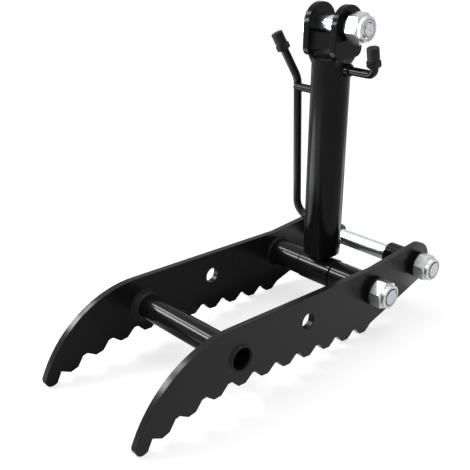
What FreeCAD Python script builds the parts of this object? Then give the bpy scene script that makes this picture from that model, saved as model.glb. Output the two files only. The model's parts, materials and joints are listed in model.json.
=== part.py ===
import FreeCAD, Part
import math
import os
import Sketcher

# Hydraulic thumb: two toothed side plates joined by a cross tube and four pivot bushes, with a double
# acting cylinder between them. Plate frame: the rear pivot is the origin, X runs forward along the line
# of the teeth, Z is up. The finished part stands on its tips and rearmost teeth, so the plate frame is
# tipped up at the front by the stand angle.

SIZES = {
    # side plates
    "plate_thickness": 8.0,
    "overall_width": 160.0,
    "end_radius": 26.5,
    "bend_forward": 92.0,
    "bend_height": 11.5,
    "top_edge_fall": 3.54,
    "front_radius": 125.0,
    "tip_forward": 417.0,
    "nose_radius": 7.8,
    "tooth_drop": 67.8,
    "first_tooth_forward": 98.5,
    "tooth_pitch": 33.2,
    "tooth_land": 10.0,
    "tooth_flank": 9.0,
    "tooth_depth": 8.6,
    "tooth_curve_forward": 281.0,
    "tooth_curve_radius": 304.0,
    "tip_gap_width": 17.5,
    "straight_gap_count": 6,
    "curved_gap_count": 3,
    "accessory_forward": 198.1,
    "accessory_drop": 23.7,
    "accessory_diameter": 18.0,
    # cross tube
    "tube_forward": 298.7,
    "tube_drop": 36.0,
    "tube_diameter": 28.0,
    "tube_wall": 2.0,
    "tube_stand_out": 2.0,
    "tube_inner_weld": 6.0,
    "tube_outer_weld": 2.4,
    # pivot bushes
    "rear_bush_diameter": 30.0,
    "rear_bush_gap": 80.0,
    "lower_bush_diameter": 34.0,
    "bush_stand_out": 6.0,
    "bush_weld": 2.5,
    "weld_gap": 0.1,
    # pivot bolts and lock nuts
    "bolt_diameter": 20.0,
    "bolt_clearance": 0.1,
    "bolt_end_chamfer": 1.5,
    "pivot_bolt_past_nut": 0.0,
    "clevis_bolt_past_nut": 0.5,
    "clevis_nut_play": 5.0,
    "head_across_flats": 30.0,
    "head_height": 10.0,
    "nut_across_flats": 30.0,
    "nut_hex_height": 14.5,
    "nut_height": 20.0,
    "nut_collar_diameter": 28.0,
    "nut_chamfer_angle": 30.0,
    "nylon_diameter": 22.8,
    "nylon_height": 3.6,
    "pivot_nut_turn": 18.5,
    "clevis_nut_turn": -18.0,
    "clevis_head_turn": 19.5,
    "pivot_head_turn": 12.0,
    # cylinder: rod side
    "lower_pivot_forward": 84.5,
    "lower_pivot_drop": 15.0,
    "cylinder_lean": 5.95,
    "eye_diameter": 36.0,
    "eye_width": 48.0,
    "eye_side_gap": 1.0,
    "eye_bush_diameter": 25.0,
    "eye_edge_break": 0.8,
    "pin_running_clearance": 0.05,
    "rod_diameter": 20.0,
    "rod_spigot_diameter": 14.0,
    "rod_weld_depth": 3.0,
    "piston_length": 20.0,
    "piston_clearance": 0.08,
    "piston_seal_width": 6.0,
    "piston_seal_depth": 4.0,
    "wear_ring_width": 5.0,
    "wear_ring_depth": 2.0,
    "ring_spacing": 3.0,
    "rod_nut_height": 12.0,
    "rod_nut_across_flats": 22.0,
    "rod_end_margin": 2.0,
    "turned_chamfer": 1.0,
    "stop_clearance": 0.5,
    # cylinder: barrel side
    "barrel_diameter": 44.0,
    "barrel_bore": 35.0,
    "barrel_length": 224.5,
    "gland_gap": 5.5,
    "gland_lip": 5.0,
    "gland_lip_diameter": 43.6,
    "gland_insert": 26.5,
    "gland_nose_diameter": 30.0,
    "gland_nose_length": 9.0,
    "gland_chamfer": 0.8,
    "rod_running_clearance": 0.05,
    "seat_clearance": 0.02,
    "rod_seal_width": 6.0,
    "rod_seal_depth": 3.5,
    "wiper_width": 4.0,
    "wiper_depth": 3.0,
    "o_ring_width": 3.2,
    "o_ring_depth": 2.2,
    "cap_flange": 6.0,
    "cap_spigot": 14.0,
    "cap_chamfer": 2.0,
    "port_bore": 6.5,
    "ear_thickness": 8.0,
    "ear_gap": 30.0,
    "ear_radius": 23.0,
    "ear_pin_height": 33.5,
    "ear_corner": 9.0,
    "ear_weld": 4.0,
    "ear_weld_depth": 8.0,
    # ports, hard lines and their ends
    "port_boss_diameter": 14.5,
    "upper_port_boss_height": 6.0,
    "lower_port_boss_height": 2.0,
    "upper_port_below_top": 6.5,
    "lower_port_above_gland": 34.0,
    "line_diameter": 9.5,
    "line_bore": 6.5,
    "upper_line_reach": 59.3,
    "upper_line_bend": 8.0,
    "upper_line_forward": 12.5,
    "upper_line_rise": 0.5,
    "lower_line_reach": 41.4,
    "lower_line_bend": 18.0,
    "lower_line_lean": 2.4,
    "lower_line_knee_below_top": 26.0,
    "lower_line_top_bend": 30.0,
    "lower_line_out": 19.7,
    "lower_line_forward": 19.8,
    "lower_line_tail": 28.8,
    "fitting_collar_flats": 13.8,
    "fitting_collar_length": 8.0,
    "fitting_stub_diameter": 10.6,
    "fitting_stub_length": 11.8,
    "fitting_bore": 5.0,
    "dust_cap_wall": 1.35,
    "dust_cap_clearance": 0.15,
    "dust_cap_end": 2.0,
    "dust_cap_length": 14.0,
    "dust_cap_round": 1.2,
    "standoff_diameter": 9.0,
    "standoff_below_top": 33.7,
    "standoff_forward": 7.0,
    "standoff_reach": 44.5,
}

doc = FreeCAD.newDocument("HydraulicThumb")
sheet = doc.addObject("Spreadsheet::Sheet", "Sizes")
for row, (alias, number) in enumerate(SIZES.items(), start=1):
    sheet.set("A%d" % row, alias)
    sheet.set("B%d" % row, repr(number))
    sheet.setAlias("B%d" % row, alias)
doc.recompute()


def size(alias):
    """One driving dimension, read back from the sheet."""
    return float(sheet.get(alias))


def value(expression):
    """The number that an expression over the sheet gives."""
    result = sheet.evalExpression(expression)
    return float(getattr(result, "Value", result))


def role_plane(body, role):
    """The body's own origin plane with this role."""
    return [item for item in body.Origin.OriginFeatures if item.Role == role][0]


def new_body(label):
    """An empty body under its own label."""
    body = doc.addObject("PartDesign::Body", label)
    body.Label = label
    return body


def new_sketch(body, role, name):
    """A sketch on one of the body's origin planes."""
    sketch = body.newObject("Sketcher::SketchObject", name)
    sketch.AttachmentSupport = [(role_plane(body, role), "")]
    sketch.MapMode = "FlatFace"
    return sketch


def pin_point(sketch, index, position, across, along):
    """Tie one end of an edge to two expressions, measured from the sketch's origin."""
    for kind, expression in (("DistanceX", across), ("DistanceY", along)):
        number = value(expression)
        key = sketch.addConstraint(Sketcher.Constraint(kind, -1, 1, index, position, number))
        sketch.setExpression("Constraints[%d]" % key, expression)


def draw_polygon(sketch, corners):
    """A closed run of straight edges through corners given as pairs of expressions."""
    points = [FreeCAD.Vector(value(across), value(along), 0) for across, along in corners]
    first = sketch.GeometryCount
    count = len(points)
    for number, start in enumerate(points):
        sketch.addGeometry(Part.LineSegment(start, points[(number + 1) % count]))
    for number in range(count):
        following = first + (number + 1) % count
        sketch.addConstraint(Sketcher.Constraint("Coincident", first + number, 2, following, 1))
    for number, (across, along) in enumerate(corners):
        pin_point(sketch, first + number, 1, across, along)


def draw_circle(sketch, across, along, diameter):
    """A circle with its centre and diameter given by expressions."""
    centre = FreeCAD.Vector(value(across), value(along), 0)
    circle = Part.Circle(centre, FreeCAD.Vector(0, 0, 1), value(diameter) / 2)
    index = sketch.addGeometry(circle)
    pin_point(sketch, index, 3, across, along)
    key = sketch.addConstraint(Sketcher.Constraint("Diameter", index, value(diameter)))
    sketch.setExpression("Constraints[%d]" % key, diameter)
    return index


def revolve(body, name, corners, cut=False):
    """Turn a profile of (radius, height) expressions about the body's Z axis."""
    sketch = new_sketch(body, "XZ_Plane", name + "_profile")
    draw_polygon(sketch, corners)
    feature = body.newObject("PartDesign::Groove" if cut else "PartDesign::Revolution", name)
    feature.Profile = sketch
    feature.ReferenceAxis = (sketch, ["V_Axis"])
    feature.Angle = 360.0
    return feature


def turned(label, corners):
    """A body that is one turned profile."""
    body = new_body(label)
    revolve(body, label + "_turning", corners)
    return body


def cut_to_hexagon(body, flats, from_height, to_height, round_diameter, turn="0"):
    """Mill six flats on a turned head or nut between two heights, turned about its axis in degrees."""
    sketch = new_sketch(body, "XY_Plane", body.Label + "_hexagon")
    sketch.AttachmentOffset = FreeCAD.Placement(FreeCAD.Vector(0, 0, value(from_height)), FreeCAD.Rotation())
    sketch.setExpression("AttachmentOffset.Base.z", from_height)
    corners = []
    for corner in range(6):
        bearing = "(%d + %s) * 1 deg" % (60 * corner + 30, turn)
        across = "(%s) / sqrt(3) * cos(%s)" % (flats, bearing)
        along = "(%s) / sqrt(3) * sin(%s)" % (flats, bearing)
        corners.append((across, along))
    draw_polygon(sketch, corners)
    draw_circle(sketch, "0", "0", "(%s) * 1.3" % round_diameter)
    pocket = body.newObject("PartDesign::Pocket", body.Label + "_flats")
    pocket.Profile = sketch
    pocket.Reversed = True
    pocket.Length = value("(%s) - (%s)" % (to_height, from_height))
    pocket.setExpression("Length", "(%s) - (%s)" % (to_height, from_height))
    return pocket


# The whole object is laid out from these derived expressions.
S = "Sizes."
HALF_WIDTH = "Sizes.overall_width / 2"
GLAND_FACE = "Sizes.eye_diameter / 2 + Sizes.gland_gap"
BARREL_FOOT = "(%s + Sizes.gland_lip)" % GLAND_FACE
BARREL_TOP = "(%s + Sizes.barrel_length)" % BARREL_FOOT
CAP_TOP = "(%s + Sizes.cap_flange)" % BARREL_TOP
CLEVIS_PIN = "(%s + Sizes.ear_pin_height)" % CAP_TOP
CAP_FACE = "(%s - Sizes.cap_spigot)" % BARREL_TOP
ROD_END = "(%s - Sizes.stop_clearance)" % CAP_FACE
PISTON_TOP = "(%s - Sizes.rod_end_margin - Sizes.rod_nut_height)" % ROD_END
PISTON_FOOT = "(%s - Sizes.piston_length)" % PISTON_TOP
UPPER_PORT = "(%s - Sizes.upper_port_below_top)" % BARREL_TOP
LOWER_PORT = "(%s + Sizes.lower_port_above_gland)" % BARREL_FOOT


# Places.

def tip_centre():
    """Centre of the nose round in the plate frame: it touches the curve of the teeth."""
    reach = size("tip_forward") - size("tooth_curve_forward")
    radius = size("tooth_curve_radius") + size("nose_radius")
    drop = size("tooth_drop") + size("tooth_curve_radius")
    return size("tip_forward"), -drop + math.sqrt(radius ** 2 - reach ** 2)


def stand_angle():
    """How far the plates tip up at the front to stand on the nose rounds and the rearmost teeth."""
    heel = (size("first_tooth_forward") - size("tooth_land"), -size("tooth_drop"))
    across = tip_centre()[0] - heel[0]
    rise = tip_centre()[1] - heel[1]
    to_centre = math.atan2(rise, across)
    to_touch = math.asin(size("nose_radius") / math.hypot(across, rise))
    return -math.degrees(to_centre - to_touch)


STAND = stand_angle()
PLATE_TURN = FreeCAD.Rotation(FreeCAD.Vector(0, 1, 0), -STAND)
PLATE_PLACE = FreeCAD.Placement(FreeCAD.Vector(0, 0, 0), PLATE_TURN)
ALONG_Y = FreeCAD.Rotation(FreeCAD.Vector(1, 0, 0), -90)
AGAINST_Y = FreeCAD.Rotation(FreeCAD.Vector(1, 0, 0), 90)
LOWER_PIVOT = PLATE_TURN.multVec(
    FreeCAD.Vector(size("lower_pivot_forward"), 0, -size("lower_pivot_drop")))
CYLINDER_TURN = FreeCAD.Rotation(FreeCAD.Vector(0, 1, 0), size("cylinder_lean") - STAND)
CYLINDER_PLACE = FreeCAD.Placement(LOWER_PIVOT, CYLINDER_TURN)


def across_at(forward, drop, offset, side=1):
    """Placement of a piece turned about Z so that it lies across the plates, starting at an offset."""
    place = FreeCAD.Placement(FreeCAD.Vector(forward, side * offset, -drop), ALONG_Y if side > 0 else AGAINST_Y)
    return PLATE_PLACE.multiply(place)


def across_cylinder(along, offset, side=1):
    """Placement across the cylinder, in its own frame, at a distance along it."""
    place = FreeCAD.Placement(FreeCAD.Vector(0, side * offset, along), ALONG_Y if side > 0 else AGAINST_Y)
    return CYLINDER_PLACE.multiply(place)


# Side plates.

def plate_outline(sketch):
    """The plate's edge without its tooth gaps: ten edges, arcs tangent to their neighbours."""
    end = size("end_radius")
    fall = math.radians(size("top_edge_fall"))
    bend = FreeCAD.Vector(size("bend_forward"), size("bend_height"), 0)
    drop = size("tooth_drop")
    heel = FreeCAD.Vector(size("first_tooth_forward") - size("tooth_land"), -drop, 0)
    toe = FreeCAD.Vector(heel.x - size("tooth_flank"), -drop + size("tooth_depth"), 0)
    curve = FreeCAD.Vector(size("tooth_curve_forward"), -drop, 0)
    curve_centre = curve + FreeCAD.Vector(0, -size("tooth_curve_radius"), 0)
    nose = FreeCAD.Vector(*tip_centre(), 0)
    nose_radius = size("nose_radius")
    front = size("front_radius")

    # tangent points of the rear round
    reach = math.hypot(bend.x, bend.y)
    upper_angle = math.atan2(bend.y, bend.x) + math.acos(end / reach)
    reach = math.hypot(toe.x, toe.y)
    lower_angle = math.atan2(toe.y, toe.x) - math.acos(end / reach)
    upper = FreeCAD.Vector(end * math.cos(upper_angle), end * math.sin(upper_angle), 0)
    lower = FreeCAD.Vector(end * math.cos(lower_angle), end * math.sin(lower_angle), 0)

    # centre of the front curve: one radius below the top edge and inside the nose round
    direction = FreeCAD.Vector(math.cos(fall), -math.sin(fall), 0)
    inward = FreeCAD.Vector(-math.sin(fall), -math.cos(fall), 0)
    start = bend + inward * front
    offset = nose - start
    along = offset.dot(direction)
    away = (offset - direction * along).Length
    front_centre = start + direction * (along - math.sqrt((front - nose_radius) ** 2 - away ** 2))
    top_end = front_centre - inward * front

    to_nose = (nose - front_centre).normalize()
    front_end = front_centre + to_nose * front
    to_curve = (curve_centre - nose).normalize()
    nose_end = nose + to_curve * nose_radius

    def arc(centre, first, last, radius):
        first_angle = math.atan2(first.y - centre.y, first.x - centre.x)
        last_angle = math.atan2(last.y - centre.y, last.x - centre.x)
        circle = Part.Circle(centre, FreeCAD.Vector(0, 0, 1), radius)
        return Part.ArcOfCircle(circle, first_angle, last_angle)

    rear = sketch.addGeometry(arc(FreeCAD.Vector(0, 0, 0), upper, lower, end))
    rise = sketch.addGeometry(Part.LineSegment(upper, bend))
    top = sketch.addGeometry(Part.LineSegment(bend, top_end))
    front_arc = sketch.addGeometry(arc(front_centre, front_end, top_end, front))
    nose_arc = sketch.addGeometry(arc(nose, nose_end, front_end, nose_radius))
    teeth_arc = sketch.addGeometry(arc(curve_centre, nose_end, curve, size("tooth_curve_radius")))
    teeth = sketch.addGeometry(Part.LineSegment(curve, heel))
    flank = sketch.addGeometry(Part.LineSegment(heel, toe))
    belly = sketch.addGeometry(Part.LineSegment(toe, lower))

    def tie(kind, *arguments):
        return sketch.addConstraint(Sketcher.Constraint(kind, *arguments))

    tie("Coincident", rear, 3, -1, 1)
    tie("Tangent", rear, 1, rise, 1)
    tie("Coincident", rise, 2, top, 1)
    tie("Tangent", top, 2, front_arc, 2)
    tie("Tangent", front_arc, 1, nose_arc, 2)
    tie("Tangent", nose_arc, 1, teeth_arc, 1)
    tie("Tangent", teeth_arc, 2, teeth, 1)
    tie("Coincident", teeth, 2, flank, 1)
    tie("Coincident", flank, 2, belly, 1)
    tie("Tangent", belly, 2, rear, 2)
    tie("Horizontal", teeth)

    def drive(kind, expression, *arguments):
        key = tie(kind, *arguments, value(expression))
        sketch.setExpression("Constraints[%d]" % key, expression)

    drive("Radius", S + "end_radius", rear)
    drive("DistanceX", S + "bend_forward", -1, 1, top, 1)
    drive("DistanceY", S + "bend_height", -1, 1, top, 1)
    drive("Radius", S + "front_radius", front_arc)
    drive("Radius", S + "nose_radius", nose_arc)
    drive("DistanceX", S + "tip_forward", -1, 1, nose_arc, 3)
    drive("Radius", S + "tooth_curve_radius", teeth_arc)
    drive("DistanceX", S + "tooth_curve_forward", -1, 1, teeth, 1)
    drive("DistanceY", "-Sizes.tooth_drop", -1, 1, teeth, 1)
    drive("DistanceX", "Sizes.first_tooth_forward - Sizes.tooth_land", -1, 1, teeth, 2)
    drive("DistanceX", "-Sizes.tooth_flank", flank, 1, flank, 2)
    drive("DistanceY", S + "tooth_depth", flank, 1, flank, 2)
    key = tie("Angle", top, -math.radians(size("top_edge_fall")))
    sketch.setExpression("Constraints[%d]" % key, "-Sizes.top_edge_fall * 1 deg")


def gap_corners(mouth, centre, base):
    """Corners of one tooth gap: a trapezium that opens through the tooth line."""
    overrun = "1"
    slope = "Sizes.tooth_flank / Sizes.tooth_depth"
    half_mouth = "((%s) / 2 + %s * %s)" % (mouth, overrun, slope)
    half_floor = "((%s) / 2 - Sizes.tooth_flank)" % mouth
    low = "(%s) - %s" % (base, overrun)
    high = "(%s) + Sizes.tooth_depth" % base
    return [
        ("(%s) - %s" % (centre, half_mouth), low),
        ("(%s) + %s" % (centre, half_mouth), low),
        ("(%s) + %s" % (centre, half_floor), high),
        ("(%s) - %s" % (centre, half_floor), high),
    ]


def cut_through(body, sketch, name):
    """A pocket through the whole plate, both ways."""
    pocket = body.newObject("PartDesign::Pocket", name)
    pocket.Profile = sketch
    pocket.Type = "ThroughAll"
    pocket.Midplane = True
    return pocket


def side_plate(label, offset):
    """One toothed side plate whose inner and outer faces are square to Y."""
    body = new_body(label)
    outline = new_sketch(body, "XZ_Plane", label + "_outline")
    plate_outline(outline)
    pad = body.newObject("PartDesign::Pad", label + "_blank")
    pad.Profile = outline
    pad.Midplane = True
    pad.setExpression("Length", S + "plate_thickness")
    doc.recompute()

    mouth = "Sizes.tooth_pitch - Sizes.tooth_land"
    first_centre = "Sizes.first_tooth_forward + (%s) / 2" % mouth
    gap = new_sketch(body, "XZ_Plane", label + "_straight_gap")
    draw_polygon(gap, gap_corners(mouth, first_centre, "-Sizes.tooth_drop"))
    straight = cut_through(body, gap, label + "_straight_cut")
    doc.recompute()
    row = body.newObject("PartDesign::LinearPattern", label + "_straight_gaps")
    row.Originals = [straight]
    row.Direction = (gap, ["H_Axis"])
    row.setExpression("Length", "Sizes.tooth_pitch * (Sizes.straight_gap_count - 1)")
    row.setExpression("Occurrences", S + "straight_gap_count")
    body.Tip = row
    doc.recompute()

    # gaps on the curve are laid out about its centre, by the length along the curve
    run = "(Sizes.tooth_curve_forward - Sizes.first_tooth_forward)"
    per_length = "(180 / pi / Sizes.tooth_curve_radius)"
    curved_start = "(Sizes.straight_gap_count * Sizes.tooth_pitch + (%s) / 2 - %s)" % (mouth, run)
    last_start = ("((Sizes.straight_gap_count + Sizes.curved_gap_count) * Sizes.tooth_pitch"
                  " + Sizes.tip_gap_width / 2 - %s)" % run)

    def curve_sketch(name, distance):
        sketch = new_sketch(body, "XZ_Plane", name)
        centre = FreeCAD.Vector(size("tooth_curve_forward"), -size("tooth_drop") - size("tooth_curve_radius"), 0)
        angle = value("(%s) * %s" % (distance, per_length))
        turn = FreeCAD.Rotation(FreeCAD.Vector(0, 0, 1), -angle)
        sketch.AttachmentOffset = FreeCAD.Placement(centre, turn)
        sketch.setExpression("AttachmentOffset.Base.x", S + "tooth_curve_forward")
        sketch.setExpression("AttachmentOffset.Base.y", "-Sizes.tooth_drop - Sizes.tooth_curve_radius")
        return sketch

    arc_gap = curve_sketch(label + "_curved_gap", curved_start)
    draw_polygon(arc_gap, gap_corners(mouth, "0", S + "tooth_curve_radius"))
    curved = cut_through(body, arc_gap, label + "_curved_cut")
    doc.recompute()
    fan = body.newObject("PartDesign::PolarPattern", label + "_curved_gaps")
    fan.Originals = [curved]
    fan.Axis = (arc_gap, ["N_Axis"])
    fan.Reversed = True
    fan.setExpression("Angle", "Sizes.tooth_pitch * (Sizes.curved_gap_count - 1) * %s" % per_length)
    fan.setExpression("Occurrences", S + "curved_gap_count")
    body.Tip = fan
    doc.recompute()

    tip_gap = curve_sketch(label + "_tip_gap", last_start)
    tip_corners = gap_corners("Sizes.tip_gap_width", "0", S + "tooth_curve_radius")
    floor = "Sizes.tip_gap_width / 2 - Sizes.tooth_flank"
    if value(floor) < 0.2:
        tip_corners[2:] = [("0", tip_corners[2][1])]
    draw_polygon(tip_gap, tip_corners)
    cut_through(body, tip_gap, label + "_tip_cut")

    holes = new_sketch(body, "XZ_Plane", label + "_holes")
    seat = "%s + 2 * Sizes.weld_gap"
    draw_circle(holes, "0", "0", seat % "Sizes.rear_bush_diameter")
    draw_circle(holes, S + "lower_pivot_forward", "-Sizes.lower_pivot_drop", seat % "Sizes.lower_bush_diameter")
    draw_circle(holes, S + "tube_forward", "-Sizes.tube_drop", seat % "Sizes.tube_diameter")
    draw_circle(holes, S + "accessory_forward", "-Sizes.accessory_drop", S + "accessory_diameter")
    cut_through(body, holes, label + "_bores")
    doc.recompute()
    place = FreeCAD.Placement(FreeCAD.Vector(0, offset, 0), FreeCAD.Rotation())
    body.Placement = PLATE_PLACE.multiply(place)
    return body


plate_middle = (size("overall_width") - size("plate_thickness")) / 2
nodes = []
nodes.append(side_plate("side_plate_left", plate_middle))
nodes.append(side_plate("side_plate_right", -plate_middle))


# Cross tube, pivot bushes and their welds.

def across_tube(label, outer, inner, first, last, forward, drop, side=1):
    """A plain tube across the plates, between two distances from the middle of the part."""
    radius = "(%s) / 2" % outer
    bore = "(%s) / 2" % inner
    end = "(%s) - (%s)" % (last, first)
    body = turned(label, [(bore, "0"), (radius, "0"), (radius, end), (bore, end)])
    body.Placement = across_at(forward, drop, value(first), side)
    return body


tube_end = "Sizes.overall_width / 2 + Sizes.tube_stand_out"
cross_tube = turned("cross_tube", [
    ("Sizes.tube_diameter / 2 - Sizes.tube_wall", "-(%s)" % tube_end),
    ("Sizes.tube_diameter / 2", "-(%s)" % tube_end),
    ("Sizes.tube_diameter / 2", tube_end),
    ("Sizes.tube_diameter / 2 - Sizes.tube_wall", tube_end),
])
cross_tube.Placement = across_at(size("tube_forward"), size("tube_drop"), 0)
nodes.append(cross_tube)

bush_end = "Sizes.overall_width / 2 + Sizes.bush_stand_out"
bolt_hole = "Sizes.bolt_diameter + 2 * Sizes.bolt_clearance"
rear_start = "Sizes.rear_bush_gap / 2"
lower_start = "Sizes.eye_width / 2 + Sizes.eye_side_gap"
for side_name, side in (("left", 1), ("right", -1)):
    nodes.append(across_tube("rear_bush_" + side_name, S + "rear_bush_diameter", bolt_hole,
                             rear_start, bush_end, 0, 0, side))
    nodes.append(across_tube("lower_bush_" + side_name, S + "lower_bush_diameter", bolt_hole,
                             lower_start, bush_end,
                             size("lower_pivot_forward"), size("lower_pivot_drop"), side))


def weld_bead(name, tube, leg):
    """A fillet weld round a tube: it lies on the plate face at height nought and on the tube."""
    radius = "((%s) / 2 + Sizes.weld_gap)" % tube
    throat = "0.42 * (%s)" % leg
    return turned(name, [
        (radius, "0"),
        ("%s + (%s)" % (radius, leg), "0"),
        ("%s + %s" % (radius, throat), throat),
        (radius, leg),
    ])


def weld_group(label, seats):
    """Weld beads that stay separate solids of one node."""
    beads = []
    for number, (tube, leg, forward, drop, offset, side) in enumerate(seats, start=1):
        bead = weld_bead("%s_bead_%d" % (label, number), tube, leg)
        bead.Placement = across_at(forward, drop, offset, side)
        beads.append(bead)
    group = doc.addObject("Part::Compound", label)
    group.Label = label
    group.Links = beads
    return group


inner_face = size("overall_width") / 2 - size("plate_thickness")
outer_face = size("overall_width") / 2
tube_seat = (S + "tube_diameter", S + "tube_inner_weld", size("tube_forward"), size("tube_drop"))
tube_rim = (S + "tube_diameter", S + "tube_outer_weld", size("tube_forward"), size("tube_drop"))
rear_seat = (S + "rear_bush_diameter", S + "bush_weld", 0, 0)
lower_seat = (S + "lower_bush_diameter", S + "bush_weld",
              size("lower_pivot_forward"), size("lower_pivot_drop"))
nodes.append(weld_group("cross_tube_welds", [
    tube_seat + (-inner_face, -1), tube_seat + (-inner_face, 1),
    tube_rim + (outer_face, 1), tube_rim + (outer_face, -1)]))
nodes.append(weld_group("bush_welds", [
    rear_seat + (-inner_face, -1), rear_seat + (-inner_face, 1),
    lower_seat + (-inner_face, -1), lower_seat + (-inner_face, 1)]))


# Bolts and lock nuts.

def hex_bolt(label, length, turn):
    """A bolt on its own axis: head below height nought, shank of this length above it."""
    head = "Sizes.head_across_flats / sqrt(3)"
    bevel = "(%s - Sizes.head_across_flats / 2) * tan(Sizes.nut_chamfer_angle * 1 deg)" % head
    shank = "Sizes.bolt_diameter / 2"
    body = turned(label, [
        ("0", "-Sizes.head_height"),
        ("Sizes.head_across_flats / 2", "-Sizes.head_height"),
        (head, "-Sizes.head_height + %s" % bevel),
        (head, "0"),
        (shank, "0"),
        (shank, "%s - Sizes.bolt_end_chamfer" % length),
        ("%s - Sizes.bolt_end_chamfer" % shank, length),
        ("0", length),
    ])
    cut_to_hexagon(body, S + "head_across_flats", "-Sizes.head_height - 1", "0", head + " * 2", turn)
    return body


def lock_nut(label, turn):
    """A lock nut on its own axis: hexagon, round collar, and a recess for the nylon ring."""
    corner = "Sizes.nut_across_flats / sqrt(3)"
    bevel = "(%s - Sizes.nut_across_flats / 2) * tan(Sizes.nut_chamfer_angle * 1 deg)" % corner
    bore = "(Sizes.bolt_diameter / 2 + Sizes.seat_clearance)"
    collar = "Sizes.nut_collar_diameter / 2"
    recess = "Sizes.nylon_diameter / 2"
    body = turned(label, [
        (bore, "0"),
        ("Sizes.nut_across_flats / 2", "0"),
        (corner, bevel),
        (corner, "Sizes.nut_hex_height - %s" % bevel),
        ("Sizes.nut_across_flats / 2", "Sizes.nut_hex_height"),
        (collar, "Sizes.nut_hex_height"),
        (collar, "Sizes.nut_height * 0.92"),
        (collar + " * 0.968", "Sizes.nut_height * 0.965"),
        (collar + " * 0.92", "Sizes.nut_height * 0.98"),
        (recess, "Sizes.nut_height * 0.98"),
        (recess, "Sizes.nut_height * 0.98 - Sizes.nylon_height"),
        (bore, "Sizes.nut_height * 0.98 - Sizes.nylon_height"),
    ])
    cut_to_hexagon(body, S + "nut_across_flats", "-1", "Sizes.nut_hex_height", corner + " * 2", turn)
    return body


def nylon_ring(label):
    """The nylon ring in the nut's recess."""
    bore = "(Sizes.bolt_diameter / 2 + Sizes.seat_clearance)"
    rim = "(Sizes.nylon_diameter / 2 - Sizes.seat_clearance)"
    top = "Sizes.nut_height * 0.955"
    foot = "Sizes.nut_height * 0.98 - Sizes.nylon_height"
    return turned(label, [(bore, foot), (rim, foot), (rim, top), (bore, top)])


def fasten(prefix, length, head_place, nut_place, kind):
    """A bolt with its lock nut and nylon ring, each hexagon turned as it was left when tightened."""
    bolt = hex_bolt(prefix + "_bolt", length, "Sizes.%s_head_turn" % kind)
    bolt.Placement = head_place
    nut = lock_nut(prefix + "_nut", "Sizes.%s_nut_turn" % kind)
    nut.Placement = nut_place
    ring = nylon_ring(prefix + "_nut_ring")
    ring.Placement = nut_place
    nodes.extend([bolt, nut, ring])


pivot_length = "2 * (%s) + Sizes.nut_height + Sizes.pivot_bolt_past_nut" % bush_end
pivot_seat = value(bush_end)
rear_place = (0, 0)
lower_place = (size("lower_pivot_forward"), size("lower_pivot_drop"))
for pivot, place in (("rear_pivot", rear_place), ("lower_pivot", lower_place)):
    fasten(pivot, pivot_length, across_at(*place, -pivot_seat), across_at(*place, pivot_seat), "pivot")
clevis_seat = size("ear_gap") / 2 + size("ear_thickness")
clevis_length = ("Sizes.ear_gap + 2 * Sizes.ear_thickness + Sizes.clevis_nut_play"
                 " + Sizes.nut_height + Sizes.clevis_bolt_past_nut")
fasten("clevis", clevis_length, across_cylinder(value(CLEVIS_PIN), -clevis_seat),
       across_cylinder(value(CLEVIS_PIN), clevis_seat + size("clevis_nut_play")), "clevis")


# Rod side of the cylinder.

eye_end = "Sizes.eye_width / 2"
eye_bore = "Sizes.eye_bush_diameter / 2"
eye_rim = "Sizes.eye_diameter / 2"
rod_eye = turned("rod_eye", [
    ("%s + Sizes.seat_clearance" % eye_bore, "-(%s)" % eye_end),
    ("%s - Sizes.eye_edge_break" % eye_rim, "-(%s)" % eye_end),
    (eye_rim, "-(%s) + Sizes.eye_edge_break" % eye_end),
    (eye_rim, "%s - Sizes.eye_edge_break" % eye_end),
    ("%s - Sizes.eye_edge_break" % eye_rim, eye_end),
    ("%s + Sizes.seat_clearance" % eye_bore, eye_end),
])
rod_eye.Placement = across_cylinder(0, 0)
nodes.append(rod_eye)

pin_bore = "Sizes.bolt_diameter / 2 + Sizes.pin_running_clearance"
rod_eye_bush = turned("rod_eye_bush", [
    (pin_bore, "-(%s)" % eye_end), (eye_bore, "-(%s)" % eye_end), (eye_bore, eye_end), (pin_bore, eye_end)])
rod_eye_bush.Placement = across_cylinder(0, 0)
nodes.append(rod_eye_bush)

rod_radius = "Sizes.rod_diameter / 2"
spigot_radius = "Sizes.rod_spigot_diameter / 2"
rod_foot = "(%s - Sizes.rod_weld_depth)" % eye_rim
piston_rod = turned("piston_rod", [
    ("0", rod_foot),
    (rod_radius, rod_foot),
    (rod_radius, PISTON_FOOT),
    (spigot_radius, PISTON_FOOT),
    (spigot_radius, "%s - Sizes.turned_chamfer" % ROD_END),
    ("%s - Sizes.turned_chamfer" % spigot_radius, ROD_END),
    ("0", ROD_END),
])
cope = new_sketch(piston_rod, "XZ_Plane", "piston_rod_cope")
draw_circle(cope, "0", "0", S + "eye_diameter")
saddle = piston_rod.newObject("PartDesign::Pocket", "piston_rod_saddle")
saddle.Profile = cope
saddle.Type = "ThroughAll"
saddle.Midplane = True
piston_rod.Placement = CYLINDER_PLACE
nodes.append(piston_rod)


def ring_seat(foot, width, rim, depth):
    """Two corners of a groove in a turned profile that runs upwards, cut inwards from its rim."""
    return [
        (rim, foot),
        ("%s - %s" % (rim, depth), foot),
        ("%s - %s" % (rim, depth), "%s + %s" % (foot, width)),
        (rim, "%s + %s" % (foot, width)),
    ]


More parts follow.
